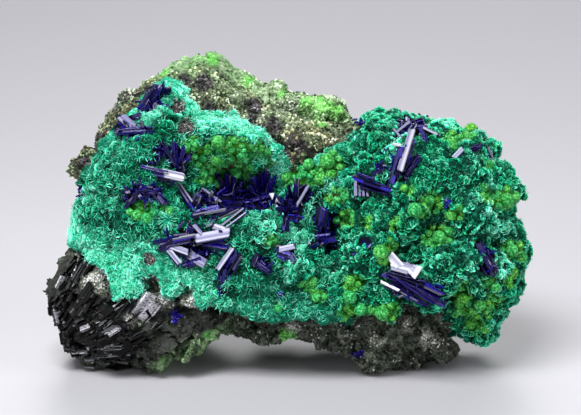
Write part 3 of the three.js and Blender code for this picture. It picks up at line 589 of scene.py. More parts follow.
# Lumps of bare grey-violet gangue on the weathered top: across, up, radius.
GANGUE_LUMPS = [
    [-15.6, 53, 1.9], [-19, 53.6, 1.3], [-22.2, 52.8, 1.3], [-25.4, 51.4, 1], [-6.3, 48.6, 1.6],
    [-5.8, 44.4, 1.1], [-2.8, 44.8, 1.4], [-14.2, 47.9, 1.2], [-6.6, 46.6, 0.9], [-1, 40.6, 1.2],
    [2.4, 41.4, 1], [-36.6, 38.4, 1.2], [-34.4, 43, 0.8],
]
gangue = spots(a, b, GANGUE_LUMPS, 0.6 * swells(base, 1.2, 76), 0.3)
stain = stain * (1 - 0.9 * gangue)
# The seams between the hummocks and the small grains of the weathered top are painted dark:
# painted shade.
seam = smooth(hummock + 0.25 * swells(base, 1.3, 60), 0.42, 0.12)
seam = np.maximum(seam, 0.8 * smooth(small_grain, 0.45, 0.15))
seam = weathered * seam * (1 - 0.5 * stain)
# Paler, sugary patches on the ore: across, up, radius.
SUGARY_PATCHES = [
    [-37, 21.4, 1.3], [-33.2, 19.2, 1.6], [-34.6, 16.4, 2.6], [-36, 11.4, 1.3], [-22.3, 13.2, 1.5],
    [-28.4, 9.8, 1.6], [-17.5, 14.2, 2], [25.6, 6, 1.9], [9.3, 6, 0.5], [11.4, 7, 0.7],
    [21.3, 9.2, 0.8], [16, 6.6, 1.2], [1, 8.8, 1],
]
in_front = smooth(out - edge_depth(b), -3, 0)
sugary = in_front * spots(a, b, SUGARY_PATCHES, 0.6 * swells(base, 1.3, 67), 0.4)
# The bare part of the ore that is bladed: across, up, half-widths.
BLADED = [-35.5, 11, 10.5, 11.5]
bladed = np.hypot((a - BLADED[0]) / BLADED[2], (b - BLADED[1]) / BLADED[3])
bladed = smooth(bladed, 1.1, 0.85) * (in_front * (1 - sugary))
# Under its blades the ore is painted nearly black: painted shade in the gaps between them, over
# the ore's own black.
seam = np.maximum(seam, 0.85 * bladed)
seam = np.maximum(seam, 0.4 * peak * smooth(swells(base, 1.8, 82), -0.3, 0.4))
# Between the blades and the arch the fresh ore is darkened to near black, with few grains: painted
# shade over the ore's own black.
black_ore = in_front * smooth(a, -10, -16) * smooth(b, 16, 12) * (1 - sugary)
black_ore = black_ore * (1 - 0.7 * coat)
seam = np.maximum(seam, black_ore * (0.72 + 0.2 * swells(base, 2.4, 83)))

# Sulfide ore, broken and partly weathered: near-black with small bright cleavage faces where
# it is fresh, dull and grainy olive-brown where it is weathered, powdery green in the stain.
fresh = [(0.34, "#090C08"), (0.47, "#2A3127"), (0.58, "#5A6452"), (0.72, "#989E90")]
olive = [(0.34, "#0D0F09"), (0.46, "#2B3023"), (0.57, "#646A4E"), (0.7, "#A8AE88")]
violet = [(0.36, "#0C0A0C"), (0.48, "#2F2A2D"), (0.6, "#6C646A"), (0.72, "#ADA6AC")]
powder = [(0.34, "#26361E"), (0.45, "#6F8C5F"), (0.56, "#AFC9A0"), (0.68, "#DCECD0")]
grass = [(0.34, "#347E2C"), (0.5, "#70CC5C"), (0.7, "#BEEEA2")]
sugar = [(0.36, "#2A2A28"), (0.5, "#85847F"), (0.64, "#DCDAD4")]
bare = ("weathered", fresh, ("gangue", olive, violet))
stained = ("stain", bare, ("grassy", powder, grass))
# Near-black painted shade lies over it in the seams, in the gaps between the blades and at the
# lower left, and dark patches mottle the peak.
ore_material = mineral(
    "weathered_sulfide_ore", ("seam", ("sugary", stained, sugar), "#060705"),
    grain=(0.7, 5.0, 0.75), bump=(0.4, 1.0), dulled=("weathered", 0.5, 0.85),
)
veined = smooth(swells(base, 5, 68) + 0.4 * swells(base, 2, 69), 0.3, 0.7)
matrix_rock = piece(
    "matrix_rock_surface", rock_stand, [rock_faces], ore_material, False,
    {
        "weathered": weathered, "stain": stain, "grassy": grassy, "seam": seam,
        "sugary": sugary, "gangue": np.maximum(gangue, 0.8 * veined),
    },
)
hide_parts("matrix_rock")

# ---- The grains and the bladed sulfide of the ore -------------------------------------------
# Weathered ore is a crust of small loose-looking grains, and fresh ore at the left foot is a
# fan of striated black sulfide blades with a few silvery cleavage faces.


def unit(v):
    """Each vector divided by its length."""
    return v / np.linalg.norm(v, axis=-1, keepdims=True)


def scattered(points, faces, weight, count, rng):
    """Places scattered over a mesh of four-sided faces: faces are drawn by area times weight,
    and each place is a random mix of its face's corners. Gives the faces, places, normals."""
    corners = points[faces]
    crossed = np.cross(corners[:, 2] - corners[:, 0], corners[:, 3] - corners[:, 1])
    area = np.linalg.norm(crossed, axis=1)
    chosen = rng.choice(len(faces), count, p=weight * area / (weight * area).sum())
    mix = rng.dirichlet([1, 1, 1, 1], count)
    return chosen, (corners[chosen] * mix[..., None]).sum(1), crossed[chosen] / area[chosen, None]


def map_cells(count, corner_places):
    """Places on a piece's own map: each of its many small crystals has a square cell of a
    grid, and its points lie in the cell at the corner places."""
    side = math.ceil(math.sqrt(count))
    number = np.arange(count)
    cell = np.stack([number % side, number // side], -1)[:, None]
    return ((cell + np.asarray(corner_places)) / side).reshape(-1, 2)


def square_to(axis, v):
    """The part of each vector that is square to an axis, as a unit vector."""
    return unit(v - axis * (v * axis).sum(-1, keepdims=True))


def over_faces(faces, *values):
    """The mean of each value over the corners of each face."""
    return [value[faces].mean(1) for value in values]


def copies(faces, points_each, count):
    """The faces of many like shapes, whose points follow one another."""
    first = points_each * np.arange(count)[:, None, None]
    return (first + np.asarray(faces)).reshape(-1, np.shape(faces)[1])


def octahedra(centre, up, size, lift):
    """The points of octahedral grains, each turned at random and lifted by a share of its size.
    The longest arm is the size, and the others are shorter."""
    long_way = unit(rng.normal(0, 1, centre.shape))
    wide_way = unit(np.cross(long_way, rng.normal(0, 1, centre.shape)))
    ways = np.stack([long_way, 0.75 * wide_way, 0.6 * np.cross(long_way, wide_way)], 1)
    arms = np.concatenate([ways, -ways], 1) * size[:, None, None]
    return ((centre + up * (lift * size)[:, None])[:, None] + arms).reshape(-1, 3)


def grains_piece(name, points, values):
    """A piece of octahedral grains. Its values are one for each grain, or one for them all."""
    count = len(points) // 6
    eight = [
        [0, 1, 2], [1, 3, 2], [3, 4, 2], [4, 0, 2],
        [1, 0, 5], [3, 1, 5], [4, 3, 5], [0, 4, 5],
    ]
    places = [[0.2, 0.2], [0.8, 0.2], [0.8, 0.8], [0.2, 0.8], [0.5, 0.2], [0.5, 0.8]]
    values = {key: np.repeat(value * np.ones(count), 6) for key, value in values.items()}
    faces = [copies(eight, 6, count)]
    return piece(name, points, faces, grain_material, False, values, map_cells(count, places))


# Loose grains of weathered ore and gangue: dull, each of one colour, from black through olive
# and straw to nearly white, and greener where the powdery stain lies.
ore = [
    (0.1, "#0C0F0B"), (0.4, "#313A2D"), (0.65, "#69735F"), (0.85, "#A6AA9E"), (1.0, "#EBE9EA"),
]
olive = [
    (0.05, "#0E110B"), (0.35, "#434B36"), (0.62, "#8C9474"), (0.85, "#C9CFAE"), (1.0, "#F0F3E2"),
]
straw = [
    (0.05, "#14120A"), (0.35, "#555132"), (0.62, "#9A9462"), (0.85, "#D2CC9C"), (1.0, "#F4F0DA"),
]
pink = [
    (0.05, "#0A090B"), (0.35, "#302C31"), (0.65, "#77717A"), (0.88, "#B7B2BA"), (1.0, "#EAE6EC"),
]
powder = [
    (0.05, "#1C2A18"), (0.35, "#6E8C60"), (0.6, "#B0CC9E"), (0.85, "#D6E8C8"), (1.0, "#F4FAF0"),
]
grass = [(0.05, "#2A7422"), (0.4, "#66C250"), (0.7, "#A6E688"), (1.0, "#E4FAD0")]
bare = ("weathered", ore, ("pink", ("straw", olive, straw), pink))
grain_material = mineral(
    "weathered_ore_grains", ("stain", bare, ("grassy", powder, grass)), along="tone",
    fixed={"Roughness": 0.6, "Specular IOR Level": 0.3},
)
GRAINS = 15600
rng = np.random.default_rng(21)
face_middle, face_weathered, face_stain, face_covered, face_grassy = over_faces(
    rock_faces, rock, weathered, stain, covered, grassy
)
face_shade_and_dark_patches, face_sugary, face_bladed, face_gangue, face_peak, face_crest, face_stand = over_faces(
    rock_faces, seam, sugary, bladed, gangue, peak, crest, rock_stand
)
broad_normals = outward_normals(base, rock_faces) @ np.stack([ACROSS, UP, OUT])
broad_normals = broad_normals[rock_faces].mean(1)
bare = (1 - face_covered) * smooth(face_stand[:, 2], 0.6, 1.2)
seen = lerp(0.25, 1, smooth(face_middle[:, 2] - edge_depth(face_middle[:, 1]), -6, -2))
weight = bare * seen * (1 - 0.8 * face_shade_and_dark_patches) * (1 - 0.4 * face_stain)
weight *= np.maximum(lerp(0.5, 1, face_weathered) * (1 - 0.85 * face_bladed), 5 * face_sugary)
weight *= 1 - 0.8 * face_peak * smooth(face_crest, 3.0, 1.2)
chosen, centre, up = scattered(rock_stand, rock_faces, weight, GRAINS, rng)
size = rng.uniform(0.16, 0.44, GRAINS) * lerp(0.85, 1.1, face_weathered[chosen])
grain_points = octahedra(centre, up, size * lerp(1, 0.8, face_sugary[chosen]), 0.35)
tone = rng.normal(0.42, 0.2, GRAINS)
tone = tone + 0.46 * swells(centre, 1.7, 74) + 0.14 * swells(centre, 4.5, 75)
# Grains in the shaded seams are darkened too: painted shade.
tone = np.clip(tone + 0.45 * face_sugary[chosen] - 0.3 * face_shade_and_dark_patches[chosen], 0, 1)
in_gangue = face_gangue[chosen]
tone = np.clip(tone - 0.28 * in_gangue * (rng.uniform(0, 1, GRAINS) < 0.85), 0, 1)
# Spots of straw-coloured grains among the olive ones: across, up, radius.
STRAW_SPOTS = [
    [-11.6, 48.2, 1.3], [-6.1, 51, 1.1], [0.6, 42.6, 1.4], [3.6, 43.6, 1.5], [-0.6, 38.2, 1.5],
    [6.6, 43.6, 1.3], [2.4, 39.4, 1.4], [-22.4, 13.2, 1.4], [-33.4, 19.4, 1.2],
]
spot_a, spot_b, _ = face_middle[chosen].T
straw_spots = spots(spot_a, spot_b, STRAW_SPOTS, 0.5 * swells(centre, 1.2, 76), 0.3)
pinkish = smooth(swells(centre, 5, 68) + 0.4 * swells(centre, 2, 69), 0.3, 0.7)
strawy = smooth(swells(centre, 4, 77) + 0.4 * swells(centre, 1.5, 78), 0.0, 0.5)
# A green breath of the stain lies over much of the weathered top.
breath = smooth(swells(centre, 3.4, 79) + 0.3 * swells(centre, 1.2, 80), -0.1, 0.5)
breath = 0.6 * face_weathered[chosen] * breath
ore_grains = grains_piece("ore_grains", grain_points, {
    "tone": tone, "stain": np.maximum(face_stain[chosen], breath * (1 - in_gangue)),
    "straw": np.maximum(strawy, straw_spots), "weathered": face_weathered[chosen],
    "pink": np.maximum(pinkish, in_gangue), "grassy": face_grassy[chosen],
})

# A striated crystal has this many corners round its section, and sections at these shares of
# its half-length.
RING = 16
STATIONS = np.array([-1.0, -0.95, 0.0, 0.95, 1.0])
CRYSTAL_POINTS = RING * len(STATIONS)


def striated_crystals(middle, side, facing, along, length, width, thickness, step, seed):
    """Blade-shaped crystals: a flat section whose broad sides step up and down in fine strips,
    by up to a share of the thickness, is carried along each crystal. The section shrinks at
    the ends, which are cut obliquely. Gives the points and faces of them all."""
    draw = np.random.default_rng(seed)
    many = len(length)
    strips = np.array([-1.0, -0.92, -0.6, -0.22, 0.15, 0.55, 0.9, 1.0])
    high = draw.uniform(1 - step, 1.0, (many, 2, 8))
    high[:, :, [0, -1]] = 0.55
    across = np.concatenate([strips, strips[::-1]])[None] * np.ones((many, 1))
    thick = np.concatenate([high[:, 0], -high[:, 1, ::-1]], 1)
    shrink = np.array([0.8, 1.0, 1.0, 1.0, 0.76])[:, None]
    slant = draw.uniform(0.2, 0.75, (many, 1, 1)) * draw.choice([-1, 1], (many, 1, 1))
    lean = slant * across[:, None] * (width / length)[:, None, None]
    run = STATIONS[None, :, None] + 0.5 * (lean * np.sign(STATIONS)[:, None])
    middle, along, side, facing = (v[:, None, None] for v in (middle, along, side, facing))
    length, width, thickness = (v[:, None, None] for v in (length, width, thickness))
    points = (
        middle + along * (run * length / 2)[..., None]
        + side * (across[:, None] * shrink * width / 2)[..., None]
        + facing * (thick[:, None] * shrink * thickness / 2)[..., None]
    )
    levels = np.arange(CRYSTAL_POINTS).reshape(-1, RING)
    quads = grid_faces(np.append(levels, levels[:, :1], 1))[:, [0, 3, 2, 1]]
    ends = np.stack([levels[0, ::-1], levels[-1]])
    return points.reshape(-1, 3), [copies(faces, CRYSTAL_POINTS, many) for faces in (quads, ends)]


SULFIDE_BLADES = 540
facing_front = smooth(broad_normals @ (OUT - 0.5 * ACROSS), 0.15, 0.5)
room = depth_inside(ROCK_OUTLINE, face_middle[:, 0], face_middle[:, 1])
weight = bare * face_bladed * facing_front * smooth(room, -0.4, 0.4) + 1e-9
chosen, centre, _ = scattered(rock_stand, rock_faces, weight, SULFIDE_BLADES, rng)


def one_of_two(slab_range, blade_range):
    """A random number for each blade, in one range for the thick slabs and in another for the
    rest. Both are drawn for every blade."""
    drawn = [rng.uniform(*ends, SULFIDE_BLADES) for ends in (slab_range, blade_range)]
    return np.where(slab, *drawn)


slab = rng.uniform(0, 1, SULFIDE_BLADES) < 0.25
length = one_of_two((2.5, 5.5), (1.2, 4.5))
width = one_of_two((1.1, 2.4), (0.15, 0.6))
length = np.minimum(length, 1 + 1.2 * room[chosen])
width = np.minimum(width, 0.2 + 0.4 * room[chosen])
# The blades fan out: steep at the top of the foot and nearly level at its bottom.
turn = rng.normal(0, 1, SULFIDE_BLADES) * np.where(slab, 5, 10)
turn = 27 + 2.7 * (face_middle[chosen, 1] - 6) + turn
tone = one_of_two((0, 0.3), (0, 0.75))
tone = np.where(slab, tone, tone**1.6)
proud = one_of_two((-0.35, 0.0), (-0.2, 0.25))
# One lilac-grey block under the druse, a few silvery faces and some long blades: across, up,
# turn in degrees, length, width, tone. The silvery faces' palest tone is partly a painted
# highlight over their metallic lustre.
CHOSEN_BLADES = [
    [-25.6, 12.9, 56, 5.2, 3.4, 1], [-38.8, 7.4, 24, 3.4, 1, 1], [-31, 8.3, 35, 2.4, 1.1, 0.7],
    [-29.6, 12.4, 33, 3.6, 1.2, 0.6], [-36.4, 8.8, 28, 2, 0.8, 1], [-35.8, 5, 60, 1.1, 0.9, 1],
    [-41, 16.6, 66, 2.4, 0.4, 1], [-37.6, 17.6, 56, 4.4, 1.8, 0.3], [-33, 11.6, 42, 5, 2.4, 0.25],
    [-38.6, 10.4, 27, 4.6, 0.3, 0.8], [-37.9, 4.3, 12, 2.8, 0.3, 0.9],
    [-24.2, 12, 50, 2.2, 1.4, 0.7],
]
for n, (a, b, *own) in enumerate(CHOSEN_BLADES):
    off = np.hypot(face_middle[:, 0] - a, face_middle[:, 1] - b) + 9 * (face_middle[:, 2] < 0)
    chosen[n] = np.argmin(off)
    centre[n] = face_stand[chosen[n]]
    turn[n], length[n], width[n], tone[n] = own
    proud[n] = 0.9 if n == 0 else 0.45
turn = np.radians(np.clip(turn, 10, 72))[:, None]
askew = rng.normal(0, 1, (SULFIDE_BLADES, 3)) * np.where(slab, 0.09, 0.22)[:, None]
facing = unit(broad_normals[chosen] + askew)
along = square_to(facing, np.cos(turn) * ACROSS + np.sin(turn) * UP)
middle = centre + facing * proud[:, None]
# How far each blade hangs down keeps it off the table.
hang = np.abs(along[:, 2]) * length + np.abs(np.cross(facing, along)[:, 2]) * width
hang = hang + 1.3 * np.abs(facing[:, 2])
middle[:, 2] = np.maximum(middle[:, 2], 0.1 + hang / 2)
points, face_sets = striated_crystals(
    middle, np.cross(facing, along), facing, along, length, width,
    rng.uniform(0.9, 1.3, SULFIDE_BLADES), step=0.2, seed=22,
)
strips_tone = np.repeat(rng.normal(0, 0.14, (SULFIDE_BLADES, 1, RING)), len(STATIONS), 1)
strips_tone = np.clip(np.repeat(tone, CRYSTAL_POINTS) + strips_tone.ravel(), 0, 1)

# Black sulfide with a dull metallic lustre: fine striations along each blade catch the light
# as grey streaks, and a few cleavage faces are silvery or lilac-grey.
sulfide_material = mineral(
    "bladed_sulfide", [(0.0, "#020202"), (0.3, "#141615"), (0.6, "#7B7C80"), (1.0, "#E8E6F0")],
    along="tone", grain=(0.35, 4.0, 0.7), bump=(0.1, 0.6),
    shade=[(0.36, "#2A2A2A"), (0.56, "#FFFFFF")],
    fixed={"Metallic": 0.55, "Specular IOR Level": 0.3, "Roughness": 0.26},
)
sulfide_blades = piece(
    "sulfide_blades", points, face_sets, sulfide_material, False, {"tone": strips_tone}
)

# ---- The druse ------------------------------------------------------------------------------
# A crust of arsentsumebite about 3 mm thick over the front of the ore. It is lumpy like a
# cauliflower, most of all on the lobe, and paler and thinner where it runs out.

CRUST_THICKNESS = 3
CRUST_BURIED = 3.5
LOBE_OUTLINE = [
    [30.2, 6.8], [34.3, 5.6], [37.5, 7.2], [39.7, 11.5], [43.2, 16], [43, 21.4], [42.9, 25.9],
    [41.6, 30], [42.5, 32.8], [40.6, 36.9], [38.6, 41], [36.1, 43.2], [31.4, 45.2], [26.9, 46.3],
    [20.3, 47], [16.5, 48.3], [13.9, 47],
]
# Patches of lime-green botryoids in the hollows: across, up, radius.
BOTRYOID_PATCHES = [
    [-16.8, 40.8, 2], [-13.6, 38.2, 4], [-9.2, 39, 3.9], [-5.2, 40.4, 1.7], [-4.6, 38, 1.6],
    [1.2, 35.4, 1.7], [4.4, 36, 1.9], [7.4, 38.2, 1.8], [-26, 29.6, 2.2], [-22.4, 29.8, 0.9],
    [-3, 24.2, 1.1], [10.4, 28.2, 1.5], [9.2, 32.2, 1.5], [7.4, 32, 0.9], [19, 27.2, 1],
    [17.8, 23, 1.2], [17.2, 21, 0.8], [25.6, 31.2, 1.9], [23.2, 29, 1.1], [30, 29, 1.1],
    [26.6, 25.2, 2.1], [24.2, 24.4, 0.9], [38.6, 31.6, 2], [35.6, 32.4, 1.3], [35.8, 37.6, 1],
    [40.2, 22.6, 1.5], [42, 21.4, 0.9], [39.2, 17, 1.1], [35.6, 16.6, 0.9], [3.8, 16.2, 1.1],
    [5.2, 14.4, 1.1], [11.6, 16.6, 1.5], [10.6, 14, 1.2], [10.6, 11.6, 1.4], [13.8, 11.4, 1.4],
    [16.4, 11, 1.5], [18.6, 12, 1.2], [31.2, 14.2, 1.4], [31, 16.4, 0.8], [31.6, 11.2, 1.4],
    [33.4, 9.2, 1.7], [36.6, 13.4, 1.2], [35, 11.4, 0.9], [29, 42.4, 1.2], [31.8, 43, 1.1],
    [14.4, 27.6, 0.9], [21.6, 33.4, 0.9], [-1.8, 12.6, 0.7],
]
lobe_arms = np.array(LOBE_OUTLINE, float) - FACE_CENTRE
lobe_turns = np.arctan2(lobe_arms[:, 1], lobe_arms[:, 0])


def crust_radius(turn):
    """The radius of the surface that the druse grows from: the rock's, pushed out behind the
    lobe to where the lobe's outline less the druse's thickness lies."""
    turn = np.mod(np.asarray(turn) + math.pi, 2 * math.pi) - math.pi
    on_lobe = (turn > lobe_turns[0]) & (turn < lobe_turns[-1])
    lobe = np.interp(turn, lobe_turns, np.hypot(*lobe_arms.T)) - CRUST_THICKNESS - 1
    rock_here = rock_radius(turn)
    return np.where(on_lobe, np.maximum(rock_here, lobe), rock_here)


def crust_thickness(p):
    """How far the druse's surface stands off what it grows on: its thickness inside the border
    and its buried depth outside, plus lumps that are higher on the lobe."""
    extent = crust_extent(p)
    height = lerp(2, 4, smooth(p[..., 0], 2, 14))
    lump = height * (lumps(p, 8.5, 5) - 0.65) * smooth(extent, 0, 2)
    return lerp(-CRUST_BURIED, CRUST_THICKNESS, smooth(extent, -1.5, 1.5)) + lump


def crust_point(d):
    """A point of the druse's surface: the pillow under it plus its thickness along the same
    direction."""
    p = pillow(d, crust_radius)
    return p + d * crust_thickness(p)[..., None]


def crust_surface(a, b):
    """The druse's surface at places on the face. It grows along a direction, so a few steps
    look for the place underneath that grows out to the one asked for."""
    a, b = np.atleast_1d(np.asarray(a, float)), np.atleast_1d(np.asarray(b, float))
    base_a, base_b = a.copy(), b.copy()
    for _ in range(12):
        turn = np.arctan2(base_b - FACE_CENTRE[1], base_a - FACE_CENTRE[0])
        share = np.hypot(base_a - FACE_CENTRE[0], base_b - FACE_CENTRE[1]) / crust_radius(turn)
        flat = np.minimum(share, 0.999)
        rise = (1 - flat**SQUARENESS) ** (1 / SQUARENESS)
        d = np.stack([flat * np.cos(turn), flat * np.sin(turn), rise], -1)
        p = crust_point(d / np.linalg.norm(d, axis=-1, keepdims=True))
        base_a, base_b = base_a + (a - p[:, 0]) / 2, base_b + (b - p[:, 1]) / 2
    return p


def patch_share(p, patches, edge):
    """From 0 to 1, how far inside the nearest of some round patches each point is."""
    return spots(p[:, 0], p[:, 1], patches, 0.5 * swells(p, 1.6, 81), edge)


# Teal hollows among the botryoids: across, up, radius.
TEAL_SPOTS = [
    [-12.9, 38.9, 1.3], [-9.2, 35.6, 1.4], [-5.4, 38.3, 1.4], [-17, 36.6, 1.3], [-15, 42, 1],
]
# Where the azurite's small crystals crowd out the green: across, up, half-widths, how many.
NESTS = [
    [-9.5, 31.2, 8.6, 2.7, 180], [-17, 24, 5.2, 3, 64], [0.4, 29.8, 2.4, 2.2, 24],
    [2.8, 32.8, 1.4, 1.8, 12], [6.5, 27, 2, 3.6, 30], [6.2, 23.4, 2.8, 1, 18],
    [-25.9, 32.8, 3.4, 1.3, 60], [-28.6, 31.4, 1, 1.2, 9], [-19.9, 38.6, 1.9, 2.2, 18],
    [-22.8, 40.7, 1.6, 1.5, 16], [-24.2, 38.3, 1.3, 0.9, 9], [-24.8, 49.6, 1.8, 2.6, 40],
    [-28.9, 44.4, 3, 1.6, 34], [-37.4, 32.8, 0.8, 1.5, 10], [22.4, 16, 4.4, 1.5, 26],
    [35, 20.8, 1.1, 2.8, 12], [20.8, 38.2, 1.6, 2.6, 14], [-11, 19.4, 1.2, 2, 10],
    [-4.6, 20, 1.4, 1.2, 9], [-0.4, 22, 1.6, 1.2, 9], [22.4, 44.6, 3, 1.5, 24],
    [-12, 15.2, 0.9, 0.8, 8], [14, 23.7, 1, 0.8, 8], [12, 21.8, 0.7, 0.5, 4],
    [28.2, 31, 0.7, 0.6, 10], [36.6, 39.6, 0.5, 0.9, 6], [33.4, 40.8, 1.1, 0.4, 5],
    [-1.4, 14.5, 0.7, 0.5, 4], [17, 40, 0.6, 0.5, 7], [16.3, 37.4, 1.2, 0.9, 10],
]
# Brighter bands of the druse, and valleys where its crystals take painted shade: across, up,
# radius.
BRIGHT_BANDS = [
    [-18.6, 43.4, 1.8], [-14.6, 44, 2], [-10.2, 43.4, 2], [-6.2, 42.2, 1.6], [-2, 38, 1.3],
    [-19.4, 51, 1.9], [2, 21, 1.6], [1.8, 24.2, 1.9], [1.2, 27, 1.8], [2, 30.2, 1.6],
    [2.2, 27, 1.6], [3.4, 29.6, 1.6], [5.4, 32.2, 1.5], [7.6, 34.6, 1.4], [28.2, 44.6, 1.5],
    [-26, 20.5, 3.6], [-30, 18.5, 3.2], [-22.4, 23.4, 2], [-12.8, 16.2, 2], [-24, 47, 1.6],
    [-35.4, 22.4, 1.8], [-27.5, 15.6, 2.2], [-19.5, 17.4, 2.2], [-4, 25.8, 2.4], [20, 41.5, 2],
    [34, 30.5, 2.2], [38, 27, 2], [37.8, 19.6, 2.2], [40.4, 25.2, 1.6], [36, 14.8, 1.4],
]
SHADED_VALLEYS = [
    [24.2, 32.2, 1.2], [26.4, 28, 1.8], [28.2, 24, 1.2], [19.4, 22.6, 1.1], [17.8, 18.8, 1.2],
    [13.4, 19.6, 1.2], [-1.2, 17.2, 1.6], [-6.8, 14.6, 1.4], [30.6, 21, 1.2], [34.6, 34.2, 1],
    [-3.8, 15.8, 1], [-0.8, 14, 0.8], [4.8, 17.8, 0.9], [2, 14.8, 0.9],
]
# Small gaps in the thin druse where the ore shows: across, up, radius.
WINDOWS = [[1.7, 20, 0.5], [-25, 21.1, 1.2], [-24.1, 17.3, 1], [-20, 48.5, 1.3], [-18.5, 45, 1.7]]
CRUST_STEPS = 300
crust_d = directions(CRUST_STEPS, math.radians(122)).reshape(-1, 3)
crust = crust_point(crust_d)
numbers = np.arange(CRUST_STEPS**2).reshape(CRUST_STEPS, CRUST_STEPS)
crust_faces = grid_faces(numbers)
# Smaller knobs, 2 to 4 mm across, with sharp seams between them, grow along the normals.
normals = outward_normals(crust, crust_faces)
a, b, out = crust.T
on_lobe = smooth(a, 4, 14)
in_front = smooth(out, -8, -4)
lime = patch_share(crust, BOTRYOID_PATCHES, 0.5) * in_front
lime *= 1 - patch_share(crust, TEAL_SPOTS, 0.4)
knobs = lerp(0.7, 2.2, on_lobe) * (lumps(crust, 3.9, 91) - 0.6)
small = lumps(crust, 2.1, 92)
knobs += lerp(0.8, 1.6, on_lobe) * (small - 0.65)
nest = np.zeros(len(crust))
for nest_a, nest_b, half_a, half_b, _ in NESTS:
    off = np.hypot((a - nest_a) / half_a, (b - nest_b) / half_b)
    nest = np.maximum(nest, smooth(off + 0.25 * swells(crust, 1.5, 96), 1.15, 0.85))
nest *= in_front
beads = 0.8 * swells(crust, 4, 94) - 0.9
window = patch_share(crust, WINDOWS, 0.35) * in_front
crust = crust + normals * (lerp(knobs, beads, lime) - 0.5 * window)[:, None]
a, b, out = crust.T
extent = crust_extent(crust)
# The thin pale zone along the druse's edge is widest at the lower left.
low = smooth(b, 29, 21)
reach = 5 + 5 * low * smooth(a, -14, -20) - 2.5 * low * smooth(a, -16, -8)
thin = smooth(extent + 1.5 * swells(crust, 5, 95), reach, 1.0) * (1 - on_lobe)
thin *= 1 - 0.65 * low * smooth(a, -16, -9)
thin *= 1 - 0.75 * smooth(a, -24, -29) * smooth(b, 25, 29) * smooth(b, 45, 41)
# Past its border the crust sinks towards the lump's middle, well inside the rock.
sunken = 0.25 * smooth(extent, -1.5, -4)[:, None]
crust = lerp(crust, np.array([*FACE_CENTRE, -6.0]), sunken)
crust[:, 1] += np.maximum(0, 0.6 - standing(crust)[:, 2]) / math.cos(LEAN)
# The hidden rim is closed with a fan to a point inside the rock.
rim_sides = [numbers[0, :-1], numbers[:-1, -1], numbers[-1, :0:-1], numbers[:0:-1, 0]]
rim_loop = np.concatenate(rim_sides)
crust_points = np.concatenate([crust, crust[rim_loop].mean(0, keepdims=True)])
fan = np.stack([rim_loop, np.roll(rim_loop, -1), np.full(len(rim_loop), len(crust))], -1)

# A druse of tiny crystals: translucent emerald, and paler mint where it is thin. The crust itself
# is only seen between its blades, so its colour is darkened as painted shade. Under the azurite
# nests it is near-black navy: the azurite's own dark blue, darkened further as painted shade of
# the hollows.
deep = [(0.35, "#00140D"), (0.52, "#034030"), (0.68, "#0A7052")]
pale = [(0.35, "#08624A"), (0.52, "#22A880"), (0.68, "#7CE6C4")]
beady = [(0.33, "#123F0C"), (0.5, "#327D12"), (0.68, "#6DB31C")]
bare_ore = [(0.36, "#0E0D0D"), (0.5, "#423E3D"), (0.66, "#A39D9B")]
growth = ("lime", ("thin", deep, pale), beady)
druse_material = mineral(
    "arsentsumebite_druse", ("window", ("nest", growth, "#04031A"), bare_ore),
    grain=(0.6, 4.0, 0.65), bump=(0.3, 0.7),
    fixed={"Roughness": 0.75, "Specular IOR Level": 0.08},
)
druse_values = {"lime": lime, "thin": thin, "nest": nest, "window": window}
druse_crust = piece(
    "druse_crust", standing(crust_points), [crust_faces, fan], druse_material, True,
    {key: np.append(value, 0) for key, value in druse_values.items()},
)
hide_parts("arsentsumebite_crust")

# Grains of the ore fill the gaps in the thin druse.
WINDOW_GRAINS = 700
rng = np.random.default_rng(51)
crust_middle, face_window = over_faces(crust_faces, crust, window)
weight = smooth(face_window, 0.3, 0.8)
_, centre, up = scattered(crust, crust_faces, weight, WINDOW_GRAINS, rng)
grain_points = octahedra(centre, up, rng.uniform(0.12, 0.3, WINDOW_GRAINS), 0.4)
window_grains = grains_piece("window_grains", standing(grain_points), {
    "tone": np.clip(rng.normal(0.3, 0.26, WINDOW_GRAINS), 0, 1), "stain": 0, "straw": 0,
    "weathered": 1, "pink": 0.8, "grassy": 0,
})

# ---- The petals and laths of the druse ------------------------------------------------------
# The druse is covered with rosettes of thin curved crystals that stand on edge like petals, and
# between them with finer laths. They are emerald, with nearly black painted shade at the foot and
# a whitish-mint painted highlight at the rim.

rng = np.random.default_rng(17)
face_lime, face_thin, face_small, face_nest, face_extent, face_lobe = over_faces(
    crust_faces, lime, thin, small, nest, extent, on_lobe
)
growing = smooth(face_extent, -0.6, 0.3) * (1 - face_nest) * (1 - smooth(face_window, 0, 0.3))
face_bright = patch_share(crust_middle, BRIGHT_BANDS, 1.0)
face_valley_shade = patch_share(crust_middle, SHADED_VALLEYS, 0.7)
# The back of the lobe is more thinly grown.
face_seen = smooth(crust_middle[:, 2] - edge_depth(crust_middle[:, 1]), -4, 0)
face_seen = lerp(0.5, 1, face_seen)


def pointing(turn, rise):
    """The direction at a turn on the face and a rise out of it."""
    flat = np.cos(rise)
    return np.stack([np.cos(turn) * flat, np.sin(turn) * flat, np.sin(rise)], -1)


# Each crystal of a rosette is turned on from the one before by this angle, near the golden one.
ROSETTE_TURN = 2.4


def rosettes(count, each, gather, lobe_share):
    """Rosettes scattered over the druse, each of a few crystals all round its centre. They
    gather on the tops of the knobs, and are more or fewer on the lobe by its share. Gives each
    crystal's face, centre, outward way along the druse and the druse's normal."""
    weight = growing * lerp(face_small**gather, 1, 0.7 * face_thin) * lerp(1, 0.45, face_lime)
    weight = weight * face_seen * lerp(1, lobe_share, face_lobe)
    chosen, centre, up = scattered(crust, crust_faces, weight, count, rng)
    east = unit(np.cross(up, [0.3, 1.0, 0.2]))
    again = np.repeat(np.arange(count), each)
    turn = np.tile(np.arange(each) * ROSETTE_TURN, count)
    turn = turn + rng.uniform(0, 2 * math.pi, count)[again]
    way = east[again] * np.cos(turn)[:, None] + np.cross(up, east)[again] * np.sin(turn)[:, None]
    return chosen[again], centre[again], way, up[again]


